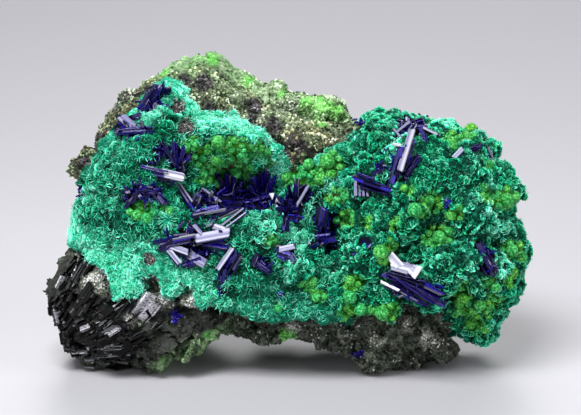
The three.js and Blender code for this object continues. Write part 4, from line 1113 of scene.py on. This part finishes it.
def petals(centre, along, up, length, height, thickness, bend, curl):
    """Petals that stand on edge. Each follows an arc whose middle stands off the chord by its
    bend, from a pointed end over two stations to the other end. At a station it is a thin
    triangle: two feet on the druse, and a rim above them that curls over to the side."""
    side = np.cross(up, along)
    t = np.array([-0.38, 0.38])[:, None]
    axis = (
        centre[:, None] + along[:, None] * (t * length[:, None, None] / 2)
        + side[:, None] * ((1 - t**2) * bend[:, None, None])
    )
    foot = side[:, None] * thickness[:, None, None] / 2
    rim = (up[:, None] + side[:, None] * curl[:, None, None]) * height[:, None, None]
    low = 0.15 * up[:, None]
    middle = np.stack([axis - foot - low, axis + foot - low, axis + rim], 2).reshape(-1, 6, 3)
    reach, lift = along * length[:, None] / 2, up * (0.4 * height)[:, None]
    points = np.stack([centre - reach + lift, centre + reach + lift], 1)
    points = np.concatenate([points, middle], 1).reshape(-1, 3)
    quads = [[2, 5, 7, 4], [4, 7, 6, 3], [3, 6, 5, 2]]
    tris = [[0, 2, 4], [0, 4, 3], [0, 3, 2], [1, 7, 5], [1, 6, 7], [1, 5, 6]]
    return points, copies(quads, 8, len(centre)), copies(tris, 8, len(centre))


def curved_laths(root, tip, bow, width, ridge):
    """Curved laths of three-sided section that end in a point: the middle of each lies off the
    straight line by its bow, its section is a flat triangle across the bow, and it shrinks
    towards the tip."""
    side = unit(np.cross(unit(tip - root), bow))
    over = np.cross(side, unit(tip - root)) * ridge[:, None]
    half = side * (width / 2)[:, None]
    middle = (root + tip) / 2 + bow
    points = [root - half * 0.8, root + half * 0.8, root + over]
    points = np.stack([*points, middle - half, middle + half, middle + over, tip], 1)
    quads = [[0, 3, 4, 1], [1, 4, 5, 2], [2, 5, 3, 0]]
    tris = [[0, 1, 2], [3, 6, 4], [4, 6, 5], [5, 6, 3]]
    faces = [copies(quads, 7, len(root)), copies(tris, 7, len(root))]
    return points.reshape(-1, 3), *faces


# Thin crystals: saturated emerald, mint where the druse is pale, and lime on the botryoids. From
# foot to rim each runs from nearly black painted shade to a whitish-mint painted highlight.
# Adamantine to waxy lustre.
emerald = [(0.0, "#000A06"), (0.47, "#004E36"), (0.82, "#03B07E"), (1.0, "#5CFFD2")]
mint = [(0.0, "#01523C"), (0.4, "#0ECEA4"), (0.75, "#62FCDC"), (1.0, "#E8FFFA")]
fresh = [(0.0, "#0A3C0C"), (0.5, "#228C22"), (1.0, "#8FE45C")]
felt_material = mineral(
    "arsentsumebite_laths", ("sunk", ("lime", ("pale", emerald, mint), fresh), "#011C14"),
    along="tip", fixed={"Roughness": 0.32, "IOR": 1.6, "Specular Tint": linear("#2CC8A0")},
)


def in_pieces(name, pieces, centre, build, tips, corner_places, values):
    """Makes a few mesh pieces of very many small crystals, cut off from one another across
    the specimen. Values are given for each crystal and repeated for its points."""
    order = np.argsort(centre[:, 0], kind="stable")
    for n, members in enumerate(np.array_split(order, pieces)):
        points, *face_sets = build(members)
        spread = {key: np.repeat(value[members], len(tips)) for key, value in values.items()}
        spread["tip"] = np.tile(tips, len(members))
        made = piece(
            f"{name}_{n + 1}", standing(points), face_sets, felt_material, False, spread,
            map_cells(len(members), corner_places),
        )


def colour_values(chosen, each):
    """How pale and how lime each crystal is, and how much painted shade it takes in the seams
    between the knobs and in the shaded valleys: by its place, its rosette's chance and its own."""
    count = len(chosen)
    lobe, thin_here, bright = face_lobe[chosen], face_thin[chosen], face_bright[chosen]
    chance = np.repeat(rng.normal(0, 0.3, count // each), each) + rng.normal(0, 0.18, count)
    chance += 0.3 * swells(crust_middle[chosen], 4.5, 97)
    # Crystals low in the seams between the knobs are darkened towards near black: painted shade.
    sunk = 0.95 * smooth(face_small[chosen], 0.6, 0.18) * (1 - 0.45 * thin_here)
    stray_lime = 0.2 * lobe * (rng.uniform(0, 1, count) < 0.2)
    return {
        "pale": np.clip(0.05 + 0.06 * lobe + 0.76 * thin_here + 0.65 * bright + chance, 0, 1),
        "lime": np.clip(face_lime[chosen] + stray_lime, 0, 1),
        "sunk": np.maximum(sunk * (1 - 0.6 * bright), 0.75 * face_valley_shade[chosen]),
    }


PETAL_ROSETTES, PETALS_EACH = 4700, 7
LATH_ROSETTES, LATHS_EACH = 3800, 6
chosen, centre, way, up = rosettes(PETAL_ROSETTES, PETALS_EACH, 0.8, 1.3)
count = len(chosen)
lobe = face_lobe[chosen]
fine = lerp(lerp(0.76, 0.68, lobe), 0.66, face_thin[chosen]) * lerp(1, 0.75, face_lime[chosen])
twist = rng.normal(0, 1, count)[:, None] * lerp(1.3, 1.0, lobe)[:, None]
along = np.cross(up, way) * np.cos(twist) + way * np.sin(twist)
stem = unit(up + way * (rng.uniform(-0.1, 1.0, count) * lerp(0.75, 1, lobe))[:, None])
along = square_to(stem, along)
centre = centre + way * (rng.uniform(0.05, 0.75, count) * fine)[:, None]
length = rng.uniform(0.7, 1.8, count) * fine * lerp(1.15, 1, lobe)
height = rng.uniform(0.35, 0.95, count) * fine * lerp(0.7, 1, lobe)
thickness = rng.uniform(0.06, 0.12, count)
bend = rng.normal(0, 0.07, count) * length * lerp(0.35, 1, lobe)
curl = rng.uniform(-0.22, 0.22, count) * lerp(0.4, 1, lobe)
measures = [centre, along, stem, length, height, thickness, bend, curl]
# The pointed ends come first, then two feet and the rim at each station.
in_pieces(
    "druse_petals", 4, centre, lambda members: petals(*(each[members] for each in measures)),
    [0.7, 0.7, 0.0, 0.0, 1.0, 0.0, 0.0, 1.0],
    [[0.1, 0.6], [0.9, 0.6], *2 * [[0.35, 0.1]], [0.35, 0.9], *2 * [[0.65, 0.1]], [0.65, 0.9]],
    colour_values(chosen, PETALS_EACH),
)

chosen, root, way, up = rosettes(LATH_ROSETTES, LATHS_EACH, 0.6, 0.5)
count = len(chosen)
# One spray of longer needles stands out among them.
SPRAY_PLACE, SPRAY_NEEDLES = [-21.7, 28.0], 60
spray = slice(SPRAY_NEEDLES)
off = np.hypot(*(crust_middle[:, :2] - SPRAY_PLACE).T) + 99 * (crust_middle[:, 2] < -4)
chosen[spray] = np.argmin(off)
root[spray], up[spray] = crust_middle[np.argmin(off)], [0, 0, 1]
around = rng.uniform(0, 2 * math.pi, SPRAY_NEEDLES)
way[spray] = pointing(around, 0 * around)
lift = np.arcsin(rng.uniform(0.2, 0.8, count))[:, None]
out_way = way * np.cos(lift) + up * np.sin(lift)
length = rng.uniform(0.7, 1.7, count) * lerp(1, 0.88, face_thin[chosen])
length = length * lerp(1, 0.6, face_lime[chosen]) * lerp(1, 0.75, face_lobe[chosen])
length[spray] = rng.uniform(1.4, 2.6, SPRAY_NEEDLES)
bow = np.cross(out_way, way + rng.normal(0, 0.6, way.shape))
bow = square_to(out_way, bow + up * rng.uniform(-0.6, 1, (count, 1)))
bow = bow * (length * rng.uniform(0.0, 0.1, count))[:, None]
root = root - 0.15 * up
width = rng.uniform(0.08, 0.18, count)
measures = [root, root + out_way * length[:, None], bow, width, 0.3 * width]
in_pieces(
    "druse_laths", 2, root, lambda members: curved_laths(*(each[members] for each in measures)),
    [0, 0, 0.2, 0.7, 0.7, 0.9, 1.0],
    [[0.1, 0.1], [0.9, 0.1], [0.5, 0.1], [0.1, 0.55], [0.9, 0.55], [0.5, 0.55], [0.5, 0.9]],
    colour_values(chosen, LATHS_EACH),
)

# ---- The lime botryoids ---------------------------------------------------------------------
# Balls of finely radiating green crystals, 1.5 to 2.5 mm across, piled in the hollows of the
# druse like bunches of grapes.

CANDIDATE_BALLS = 5000
rng = np.random.default_rng(41)
weight = growing * face_lime**2
_, centre, up = scattered(crust, crust_faces, weight, CANDIDATE_BALLS, rng)
radius = 0.55 + 0.85 * rng.uniform(0, 1, CANDIDATE_BALLS) ** 1.6
centre = centre + up * rng.uniform(-0.5, 0.5, CANDIDATE_BALLS)[:, None]
# A few larger balls stand alone: across, up, radius.
LONE_BALLS = [
    [7, 38.4, 1.5], [10.9, 14.2, 1.3], [36, 37.8, 1.1], [-9.6, 36.4, 1.2], [39.2, 31.4, 1.4],
    [26.8, 24.8, 1.3], [-12.8, 38.8, 1.3], [34.2, 12.8, 1.2], [12.8, 12, 1.2], [16.6, 11.4, 1.3],
    [31.2, 14, 1.2], [40.2, 22.4, 1.2],
]
lone_a, lone_b, lone_radius = np.transpose(LONE_BALLS)
centre[: len(LONE_BALLS)] = crust_surface(lone_a, lone_b) + [0, 0, 0.3]
radius[: len(LONE_BALLS)] = lone_radius
# A ball is kept where it overlaps those kept before it by no more than a little over a quarter.
kept = []
for n in range(CANDIDATE_BALLS):
    room = np.linalg.norm(centre[kept] - centre[n], axis=1) - 0.72 * (radius[kept] + radius[n])
    if np.all(room > 0):
        kept.append(n)
centre, radius = centre[kept], radius[kept]
ball_hue = rng.uniform(0, 1, len(kept)) * lerp(0.5, 1, smooth(centre[:, 0], 4, 14))
unit_ball = bmesh.new()
bmesh.ops.create_icosphere(unit_ball, subdivisions=2, radius=1)
ball_points = np.array([v.co[:] for v in unit_ball.verts])
ball_faces = np.array([[v.index for v in f.verts] for f in unit_ball.faces])
unit_ball.free()
balls = centre[:, None] + ball_points * radius[:, None, None]
swollen = 1 + 0.12 * swells(balls, 0.6, 42) + 0.05 * swells(balls, 1.4, 43)
balls = centre[:, None] + (balls - centre[:, None]) * swollen[..., None]

# Finely fibrous balls: a velvety, nearly matt surface of their own green. It follows the same
# noise as the bump: deep green in its pits is painted shade, bright yellow-green on its tops a
# painted highlight.
grass = [(0.34, "#044020"), (0.5, "#1E984E"), (0.66, "#70E89C")]
yellow = [(0.34, "#0C4A14"), (0.5, "#40A02E"), (0.66, "#A6EA70")]
ball_material = mineral(
    "lime_botryoids", ("hue", grass, yellow), grain=(0.4, 4.0, 0.7), bump=(0.4, 0.9),
    fixed={"Roughness": 0.6, "Specular Tint": linear("#9CE070")},
)
botryoids = piece(
    "lime_botryoids", standing(balls.reshape(-1, 3)),
    [copies(ball_faces, len(ball_points), len(centre))], ball_material, True,
    {"hue": np.repeat(ball_hue, len(ball_points))},
)

# ---- The azurite clusters -------------------------------------------------------------------
# Bundles of blade-shaped azurite crystals, striated along their length and cut off obliquely.
# They grow from knots under the druse.

# Each crystal: across, up, turn on the face, rise out of it, roll about its own length (all in
# degrees), length, width, thickness, and how far its middle stands above the druse. Where the
# roll is None, the broad face is turned to throw the softbox's light at the viewer.
CLUSTERS = {
    "azurite_summit": [
        [-25.1, 49.3, 57, 12, 25, 5.8, 1.6, 0.8, 0.4],
        [-24, 50.2, 62, 20, -20, 4.6, 1.3, 0.7, 0.6], [-22.9, 51.3, 8, 15, 40, 3.6, 1.1, 0.6, 0.5],
        [-25.9, 50.4, 100, 25, 10, 2.6, 1, 0.6, 0.5], [-26.4, 47.6, 35, 10, 0, 3.4, 1.2, 0.6, 0.3],
    ],
    "azurite_shoulder": [
        [-27.3, 43.9, 4, 8, -50, 6.4, 1.4, 0.7, 0.5],
        [-28.8, 45.4, -45, 18, None, 3.6, 1.6, 0.6, 0.7],
        [-31, 44, 30, 12, 20, 2.6, 1.2, 0.6, 0.3], [-28, 46.4, 20, 20, -10, 3.4, 1, 0.6, 0.3],
        [-29.6, 43.6, -20, 30, 30, 2.8, 1, 0.5, 0.5],
    ],
    "azurite_arch": [
        [-27.9, 31.7, 50, 12, 10, 4.6, 0.8, 0.6, 0.2], [-26.6, 33, 22, 14, 30, 2.8, 0.7, 0.6, 0.3],
        [-24.9, 33.2, -12, 12, 20, 3, 0.8, 0.6, 0.3],
        [-23.3, 32.1, -52, 14, -15, 3.8, 0.8, 0.6, 0.2],
        [-27.2, 32.3, 75, 24, -20, 2.2, 0.6, 0.5, 0.4],
        [-28.9, 33.2, -60, 20, None, 1.4, 0.8, 0.4, 0.4],
    ],
    "azurite_bar": [
        [-22.2, 36.2, -17, 6, None, 7.6, 1.6, 0.8, 0.8],
        [-24.3, 36.9, -14, 10, -35, 4.2, 1, 0.7, 0.3],
        [-20.6, 35.2, 60, 25, 0, 2.4, 0.9, 0.5, 0.4],
        [-18.8, 32.4, -57, 10, 60, 6.4, 0.8, 0.5, 0.5],
    ],
    "azurite_spray": [
        [-21.2, 39.4, 118, 25, 10, 4.6, 0.8, 0.4, 0.2],
        [-20.4, 39.7, 95, 30, -20, 5, 0.9, 0.5, 0.4],
        [-19.3, 39.3, 70, 28, 30, 4.4, 0.8, 0.4, 0.4],
        [-18.7, 38.4, 42, 20, 0, 3.8, 0.7, 0.4, 0.3],
    ],
    "azurite_pit_bank": [
        [-15.6, 29.3, 14, 10, -30, 7, 1.5, 0.8, 0.4], [-14.6, 30.6, -12, 16, 30, 6, 1.3, 0.8, 0.5],
        [-12.8, 28.6, 24, 8, 15, 6.5, 1.3, 0.7, 0.2], [-11, 29.8, 3, 20, -50, 5, 1.2, 0.7, 0.8],
        [-13.8, 32.4, -41, 14, None, 4.6, 0.4, 0.3, 1.2], [-17.4, 30.9, 62, 20, 0, 4, 1, 0.6, 0.5],
        [-10.2, 28.3, 42, 10, None, 5.6, 0.35, 0.3, 1.1],
        [-9.4, 27.9, 40, 12, None, 4.6, 0.3, 0.3, 1.1],
    ],
    "azurite_pit_fan": [
        [-11.9, 33.9, 112, 30, 15, 4.4, 0.9, 0.5, 0.9], [-11, 34.2, 94, 34, -10, 4.8, 1, 0.5, 1.1],
        [-10.2, 33.9, 78, 30, 25, 4.4, 0.9, 0.5, 1], [-9.3, 33.3, 55, 26, -25, 3.8, 0.8, 0.5, 0.7],
    ],
    "azurite_pit_crown": [
        [-5.8, 33.6, 112, 28, 20, 5, 1, 0.5, 0.9], [-4.9, 34.1, 96, 32, -8, 5.6, 1.2, 0.6, 1.2],
        [-4, 34.2, 84, 33, 6, 5.6, 1.1, 0.6, 1.3], [-3.1, 33.8, 70, 30, 25, 5, 0.8, 0.5, 1],
        [-2.3, 31.3, -62, 22, None, 3.4, 0.9, 0.5, 0.9],
        [-6, 31.4, 14, 12, 40, 5.4, 1.1, 0.7, 0.3],
    ],
    "azurite_pit_end": [
        [0.3, 32.3, 100, 30, 10, 4.2, 0.9, 0.5, 0.7], [1.2, 32.5, 86, 30, -15, 4.4, 0.9, 0.5, 0.9],
        [2.5, 32.2, 64, 24, None, 4.6, 0.5, 0.4, 0.8],
    ],
    "azurite_rosette": [
        [-1.2, 29.3, 130, 35, 0, 2.8, 1.2, 0.5, 0.6], [0.2, 29.5, 62, 35, 20, 2.8, 1.2, 0.5, 0.6],
        [0.7, 28.1, -12, 35, -20, 2.8, 1.2, 0.5, 0.6],
        [-0.6, 27.2, -95, 35, 10, 2.8, 1.2, 0.5, 0.6],
    ],
    "azurite_main_group": [
        [-13.6, 25, 9, 4, None, 6.4, 1.9, 0.9, 1], [-12.2, 26.4, -24, 8, None, 2.6, 1.2, 0.5, 0.9],
        [-20.2, 24, 10, 8, -10, 5.6, 2, 0.8, 0.8], [-21.8, 23.4, 38, 10, 20, 3.2, 1.1, 0.6, 0.4],
        [-19.6, 22.7, -25, 8, None, 3.8, 1.2, 0.6, 0.8],
        [-20.4, 21.4, -53, 8, None, 3.6, 0.9, 0.5, 0.7],
        [-16.3, 20.9, -35, 6, None, 3.6, 1.7, 0.6, 0.8],
        [-17.8, 25.4, 80, 25, -20, 3.4, 1.2, 0.7, 0.4],
        [-13, 23.2, -8, 10, -40, 4.6, 1.6, 0.9, 0.3],
        [-16.2, 26.2, -52, 12, None, 2.4, 0.7, 0.5, 1],
        [-17.6, 20.2, 20, 12, 0, 3.2, 1.2, 0.7, 0.2],
    ],
    "azurite_pair": [
        [-11.3, 21, 60, 8, None, 4.8, 0.8, 0.5, 1], [-10, 20.3, 58, 12, -40, 4.4, 1.3, 0.7, 0.4],
        [-11.6, 17.8, 82, 10, 30, 3, 1, 0.6, 0.3],
    ],
    "azurite_small_group": [
        [-4.9, 19.8, -35, 12, 20, 3.8, 1.1, 0.5, 0.5],
        [-5.9, 20.8, 70, 20, -10, 2.4, 1.2, 0.6, 0.4], [-3.6, 19.6, 40, 18, 0, 2.4, 0.7, 0.4, 0.5],
    ],
    "azurite_mound_foot": [
        [-1, 21.9, -20, 15, 30, 3.4, 1.5, 0.6, 0.6],
        [-0.3, 22.9, 12, 22, None, 2.8, 1.1, 0.5, 0.6], [0.4, 21.3, -60, 20, 10, 2.6, 1, 0.5, 0.5],
    ],
    "azurite_hollow": [
        [5.8, 27.4, 78, 18, -30, 5.8, 1.6, 0.8, 1.2], [6.9, 26.6, 96, 22, 30, 4.8, 1.4, 0.7, 1.2],
        [6, 24.2, 8, 12, 10, 5.2, 1.5, 0.8, 0.3],
    ],
    "azurite_twigs": [
        [20.6, 44.6, 42, 10, None, 3.2, 0.5, 0.5, 0.9],
        [22.6, 45.2, 18, 10, 20, 3.6, 0.7, 0.5, 0.8], [23.2, 44.4, 10, 14, 0, 3.2, 0.7, 0.5, 0.7],
        [25.4, 43.8, -32, 6, None, 3, 0.5, 0.5, 0.8],
        [24.6, 44.9, -22, 12, 10, 3.4, 0.6, 0.5, 0.8], [21.8, 43.9, 60, 14, 20, 3, 0.6, 0.5, 0.8],
        [20, 46, 88, 18, 0, 2.8, 0.6, 0.5, 0.6], [24.1, 43.2, -70, 12, 20, 2.8, 0.7, 0.5, 0.6],
        [19.8, 43, -53, 6, None, 3.4, 0.45, 0.5, 0.9],
    ],
    "azurite_sword": [
        [20.9, 40.3, 77, 2, None, 8.2, 1.15, 0.8, 2.6],
        [19.2, 37.6, 76, 4, -30, 6.8, 1.5, 0.8, 0.1], [22.2, 37.6, 56, 6, 55, 4, 1.1, 0.7, 0.4],
        [19.4, 41.3, -12, 10, None, 1.8, 0.6, 0.4, 0.8],
    ],
    "azurite_beam": [
        [15.4, 34.3, -18, 4, -58, 8.2, 1.6, 0.9, 0.8],
        [11.9, 33.5, -87, 10, None, 3, 0.5, 0.4, 0.6],
        [12.6, 33.2, -83, 10, None, 2.5, 0.4, 0.3, 0.7],
        [13.3, 33.4, -85, 10, None, 2.9, 0.5, 0.4, 0.6],
        [14, 33, -80, 10, None, 2.1, 0.4, 0.3, 0.6], [16.1, 36.4, 30, 20, 0, 2.4, 0.9, 0.5, 0.2],
    ],
    "azurite_sheaf": [
        [18.9, 20.6, -52, 4, None, 3, 1.6, 0.6, 1.4], [19.9, 19.6, -20, 4, None, 3.8, 2, 0.7, 1.3],
        [22.3, 18.9, 62, 4, None, 2.2, 1.9, 0.6, 1.4],
        [21.3, 19.4, -40, 4, None, 2.4, 1.5, 0.5, 1.5],
        [20.8, 17.5, -18, 4, -50, 6.6, 1.5, 0.8, 0.5],
        [22.2, 15.8, -31, 5, 25, 9.6, 0.8, 0.6, 0.8], [23, 15.3, -32, 5, -20, 9.6, 0.8, 0.6, 0.9],
        [23.9, 15.2, -29, 6, 15, 9, 0.9, 0.6, 0.8], [24.6, 16.2, -27, 4, -35, 6.8, 0.9, 0.6, 0.5],
        [21.4, 14.6, -30, 4, 5, 8, 0.8, 0.5, 0.5], [27, 14.2, -40, 10, 10, 2.6, 1.2, 0.6, 0.7],
        [18, 16.2, -31, 5, None, 3.8, 0.5, 0.4, 0.9],
    ],
    "azurite_right": [
        [34.7, 21.4, -62, 8, -30, 5.4, 1.6, 0.8, 0.5],
        [35.7, 19.9, -70, 10, 25, 4.2, 1.2, 0.7, 0.6], [34.4, 22.8, -30, 20, 0, 2.4, 1, 0.5, 0.4],
    ],
    "azurite_brow": [
        [36.4, 39.9, -70, 8, 20, 3.6, 1.2, 0.6, 0.6], [33, 40.6, 12, 6, 20, 3, 0.8, 0.5, 0.6],
    ],
    "azurite_chip": [[30.3, 39.8, 50, 8, None, 2.4, 0.9, 0.5, 0.7]],
    "azurite_edge": [[-36.9, 34.2, 62, 5, 20, 3.8, 1.3, 0.6, 0.4]],
}
BLADE_CLEARANCE = 0.4
SLIM_EACH, RIBS_EACH = 7, 3
WHITEST = ["azurite_sword", "azurite_bar", "azurite_sheaf"]
DARKEST = ["azurite_arch", "azurite_beam", "azurite_right"]
toward_viewer = np.array([0.0, 0.0, 1.0])
mirror_facing = key_direction + toward_viewer
mirror_facing /= np.linalg.norm(mirror_facing)

# Azurite: dark violet-blue crystals with a glassy lustre, nearly black where they are thick and
# a clear royal blue at thin edges. IOR 1.73, azurite's lowest.
blue = [(0.0, "#02000C"), (0.45, "#080330"), (0.8, "#140C70"), (1.0, "#3128C4")]
# The pale lilac-grey of the broad faces turned to throw the softbox's light is a painted
# reflection; these faces are also rougher.
painted_reflection_ramp = [(0.0, "#54566A"), (0.5, "#8E909A"), (1.0, "#DEDEDC")]
azurite_material = mineral(
    "azurite_crystal", ("frost", blue, painted_reflection_ramp), along="streak", grain=(0.3, 4.0, 0.7),
    bump=(0.1, 0.7), dulled=("frost", 0.12, 0.5),
    fixed={"Specular Tint": linear("#A09CDE"), "IOR": 1.73},
)


def streaks(many, frost, dullest):
    """Named values of striated crystals: a streak number for each corner of the section, the
    same all along the crystal, and the painted reflection on the broad side that faces out.
    The streak numbers are raised to a power from a third of each crystal's dullest to it."""
    power = dullest[:, None, None] * draw.uniform(0.33, 1, (many, 1, 1))
    streak = np.repeat(draw.uniform(0, 1, (many, 1, RING)) ** power, len(STATIONS), 1)
    side = (np.arange(RING) < RING // 2) * frost[:, None, None]
    return {"streak": streak.ravel(), "frost": (side * lerp(0.75, 1, streak)).ravel()}


for number, (name, rows) in enumerate(CLUSTERS.items()):
    draw = np.random.default_rng(200 + number)
    many = len(rows)
    lit = np.array([row[4] is None for row in rows])
    a, b, turn, rise, roll, length, width, thickness, stand = np.array(
        [[value or 0 for value in row] for row in rows], float
    ).T
    turn, rise, roll = np.radians([turn, rise, roll])
    lit_along = square_to(mirror_facing, pointing(turn, 0 * turn))
    along = np.where(lit[:, None], lit_along, pointing(turn, rise))
    facing = square_to(along, toward_viewer)
    rolled = facing * np.cos(roll)[:, None] + np.cross(along, facing) * np.sin(roll)[:, None]
    facing = np.where(lit[:, None], mirror_facing, rolled)
    side = np.cross(facing, along)
    middle = crust_surface(a, b) + toward_viewer * (stand + BLADE_CLEARANCE)[:, None]
    # Each crystal is a bundle: the blade itself and slimmer ones beside it, a little askew. The
    # last of them lie on the blade as ribs, unless its face is one that throws the light.
    bundle = [np.stack([middle, side, facing, along], 1)]
    sizes = [np.stack([length, lerp(0.75, 1, lit) * width, thickness], -1)]
    for extra in range(SLIM_EACH):
        rib = (extra >= SLIM_EACH - RIBS_EACH) * ~lit
        spin = draw.uniform(0.2, 1.1, (many, 1)) * draw.choice([-1, 1], (many, 1))
        face = facing * np.cos(spin) + side * np.sin(spin)
        askew = along + side * draw.normal(0, 0.07, (many, 1))
        askew = square_to(face, askew + facing * draw.normal(0, 0.06, (many, 1)))
        slim_width = width * draw.uniform(0.18, 0.45, many)
        slim_thickness = thickness * draw.uniform(0.35, 0.8, many)
        beside = 0.5 * thickness + (0.5 * slim_width + 0.3 * slim_thickness)
        deep = np.where(rib, -0.3 * thickness, beside)[:, None]
        at = middle + side * (draw.uniform(-0.65, 0.65, (many, 1)) * width[:, None])
        at = at + along * (draw.uniform(-0.3, 0.3, (many, 1)) * length[:, None]) - facing * deep
        bundle.append(np.stack([at, np.cross(face, askew), face, askew], 1))
        slim_length = length * draw.uniform(0.35, 0.9, many)
        sizes.append(np.stack([slim_length, slim_width, slim_thickness], -1))
    vectors = np.moveaxis(np.concatenate(bundle), 1, 0)
    sizes = np.concatenate(sizes)
    points, face_sets = striated_crystals(*vectors, *sizes.T, step=0.12, seed=300 + number)
    # A slim crystal here and there carries a painted reflection too.
    frost = 0.7 * (draw.uniform(0, 1, len(sizes)) < 0.14)
    # The broad faces turned to the softbox carry the painted reflection: in full, and with paler
    # streaks, in the whitest clusters.
    frost[:many] = lit * (1.0 if name in WHITEST else draw.uniform(0.62, 1, many))
    dullest = np.full(len(sizes), 5.0 if name in DARKEST else 2.6)
    if name in WHITEST:
        dullest[:many][lit] = 0.7
    cluster = piece(
        name + "_blades", standing(points), face_sets, azurite_material, False,
        streaks(len(sizes), frost, dullest),
    )
    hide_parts(name)

# ---- The nests of small azurite -------------------------------------------------------------
# Between and under the large blades the hollows are crowded with small azurite crystals,
# grown in all directions from the floor of the hollow. A few grow on the bare ore.

# On the ore: across, up, half-widths, how many.
ORE_NESTS = [[-20.4, 10.5, 0.8, 1.3, 26], [12.8, 3.6, 1.2, 0.5, 20], [12.9, 46.4, 1.2, 0.8, 14]]
SMALL_NEST = 1.3
on_ore = sum(row[4] for row in ORE_NESTS)
nest_rows = np.concatenate([np.tile(row[:4], (row[4], 1)) for row in NESTS + ORE_NESTS])
nest_a, nest_b, half_a, half_b = nest_rows.T
many = len(nest_rows)
draw = np.random.default_rng(611)
reach, around = np.sqrt(draw.uniform(0, 1, many)), draw.uniform(0, 2 * math.pi, many)
a = nest_a + half_a * reach * np.cos(around)
b = nest_b + half_b * reach * np.sin(around)
turn = draw.uniform(0, 2 * math.pi, many)
along = pointing(turn, np.radians(draw.uniform(5, 60, many)))
facing = unit(np.cross(along, draw.normal(0, 1, (many, 3))))
facing = facing * np.where(facing[:, 2:] < 0, -1, 1)
length = draw.uniform(1.2, 3.0, many) * np.clip(np.maximum(half_a, half_b) / 2.6, 0.4, 1)
middle = crust_surface(a, b)
# The smallest groups sit on the knobs of the druse, or on the ore.
for n in np.flatnonzero(half_a < SMALL_NEST):
    ground = rock if n >= many - on_ore else crust
    off = np.hypot(ground[:, 0] - a[n], ground[:, 1] - b[n]) - 0.2 * np.maximum(ground[:, 2], -12)
    middle[n] = ground[np.argmin(off)]
middle = middle + along * (0.3 * length)[:, None]
width = draw.uniform(0.1, 0.3, many) * length
points, face_sets = striated_crystals(
    middle, np.cross(facing, along), facing, along, length, width,
    draw.uniform(0.2, 0.4, many), step=0.1, seed=612,
)
# One small crystal in ten carries a painted reflection.
frost = 0.6 * (draw.uniform(0, 1, many) < 0.1)
nests = piece(
    "azurite_nests", standing(points), face_sets, azurite_material, False,
    streaks(many, frost, np.where(half_a < SMALL_NEST, 0.7, 1.8)),
)

# ---- The overall boxes ----------------------------------------------------------------------
# The sizes of the frame and of the finished specimen, side by side.

boxes = {"frame": frame_box, "visual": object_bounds()}
boxes = {key: [list(map(float, corner)) for corner in box] for key, box in boxes.items()}
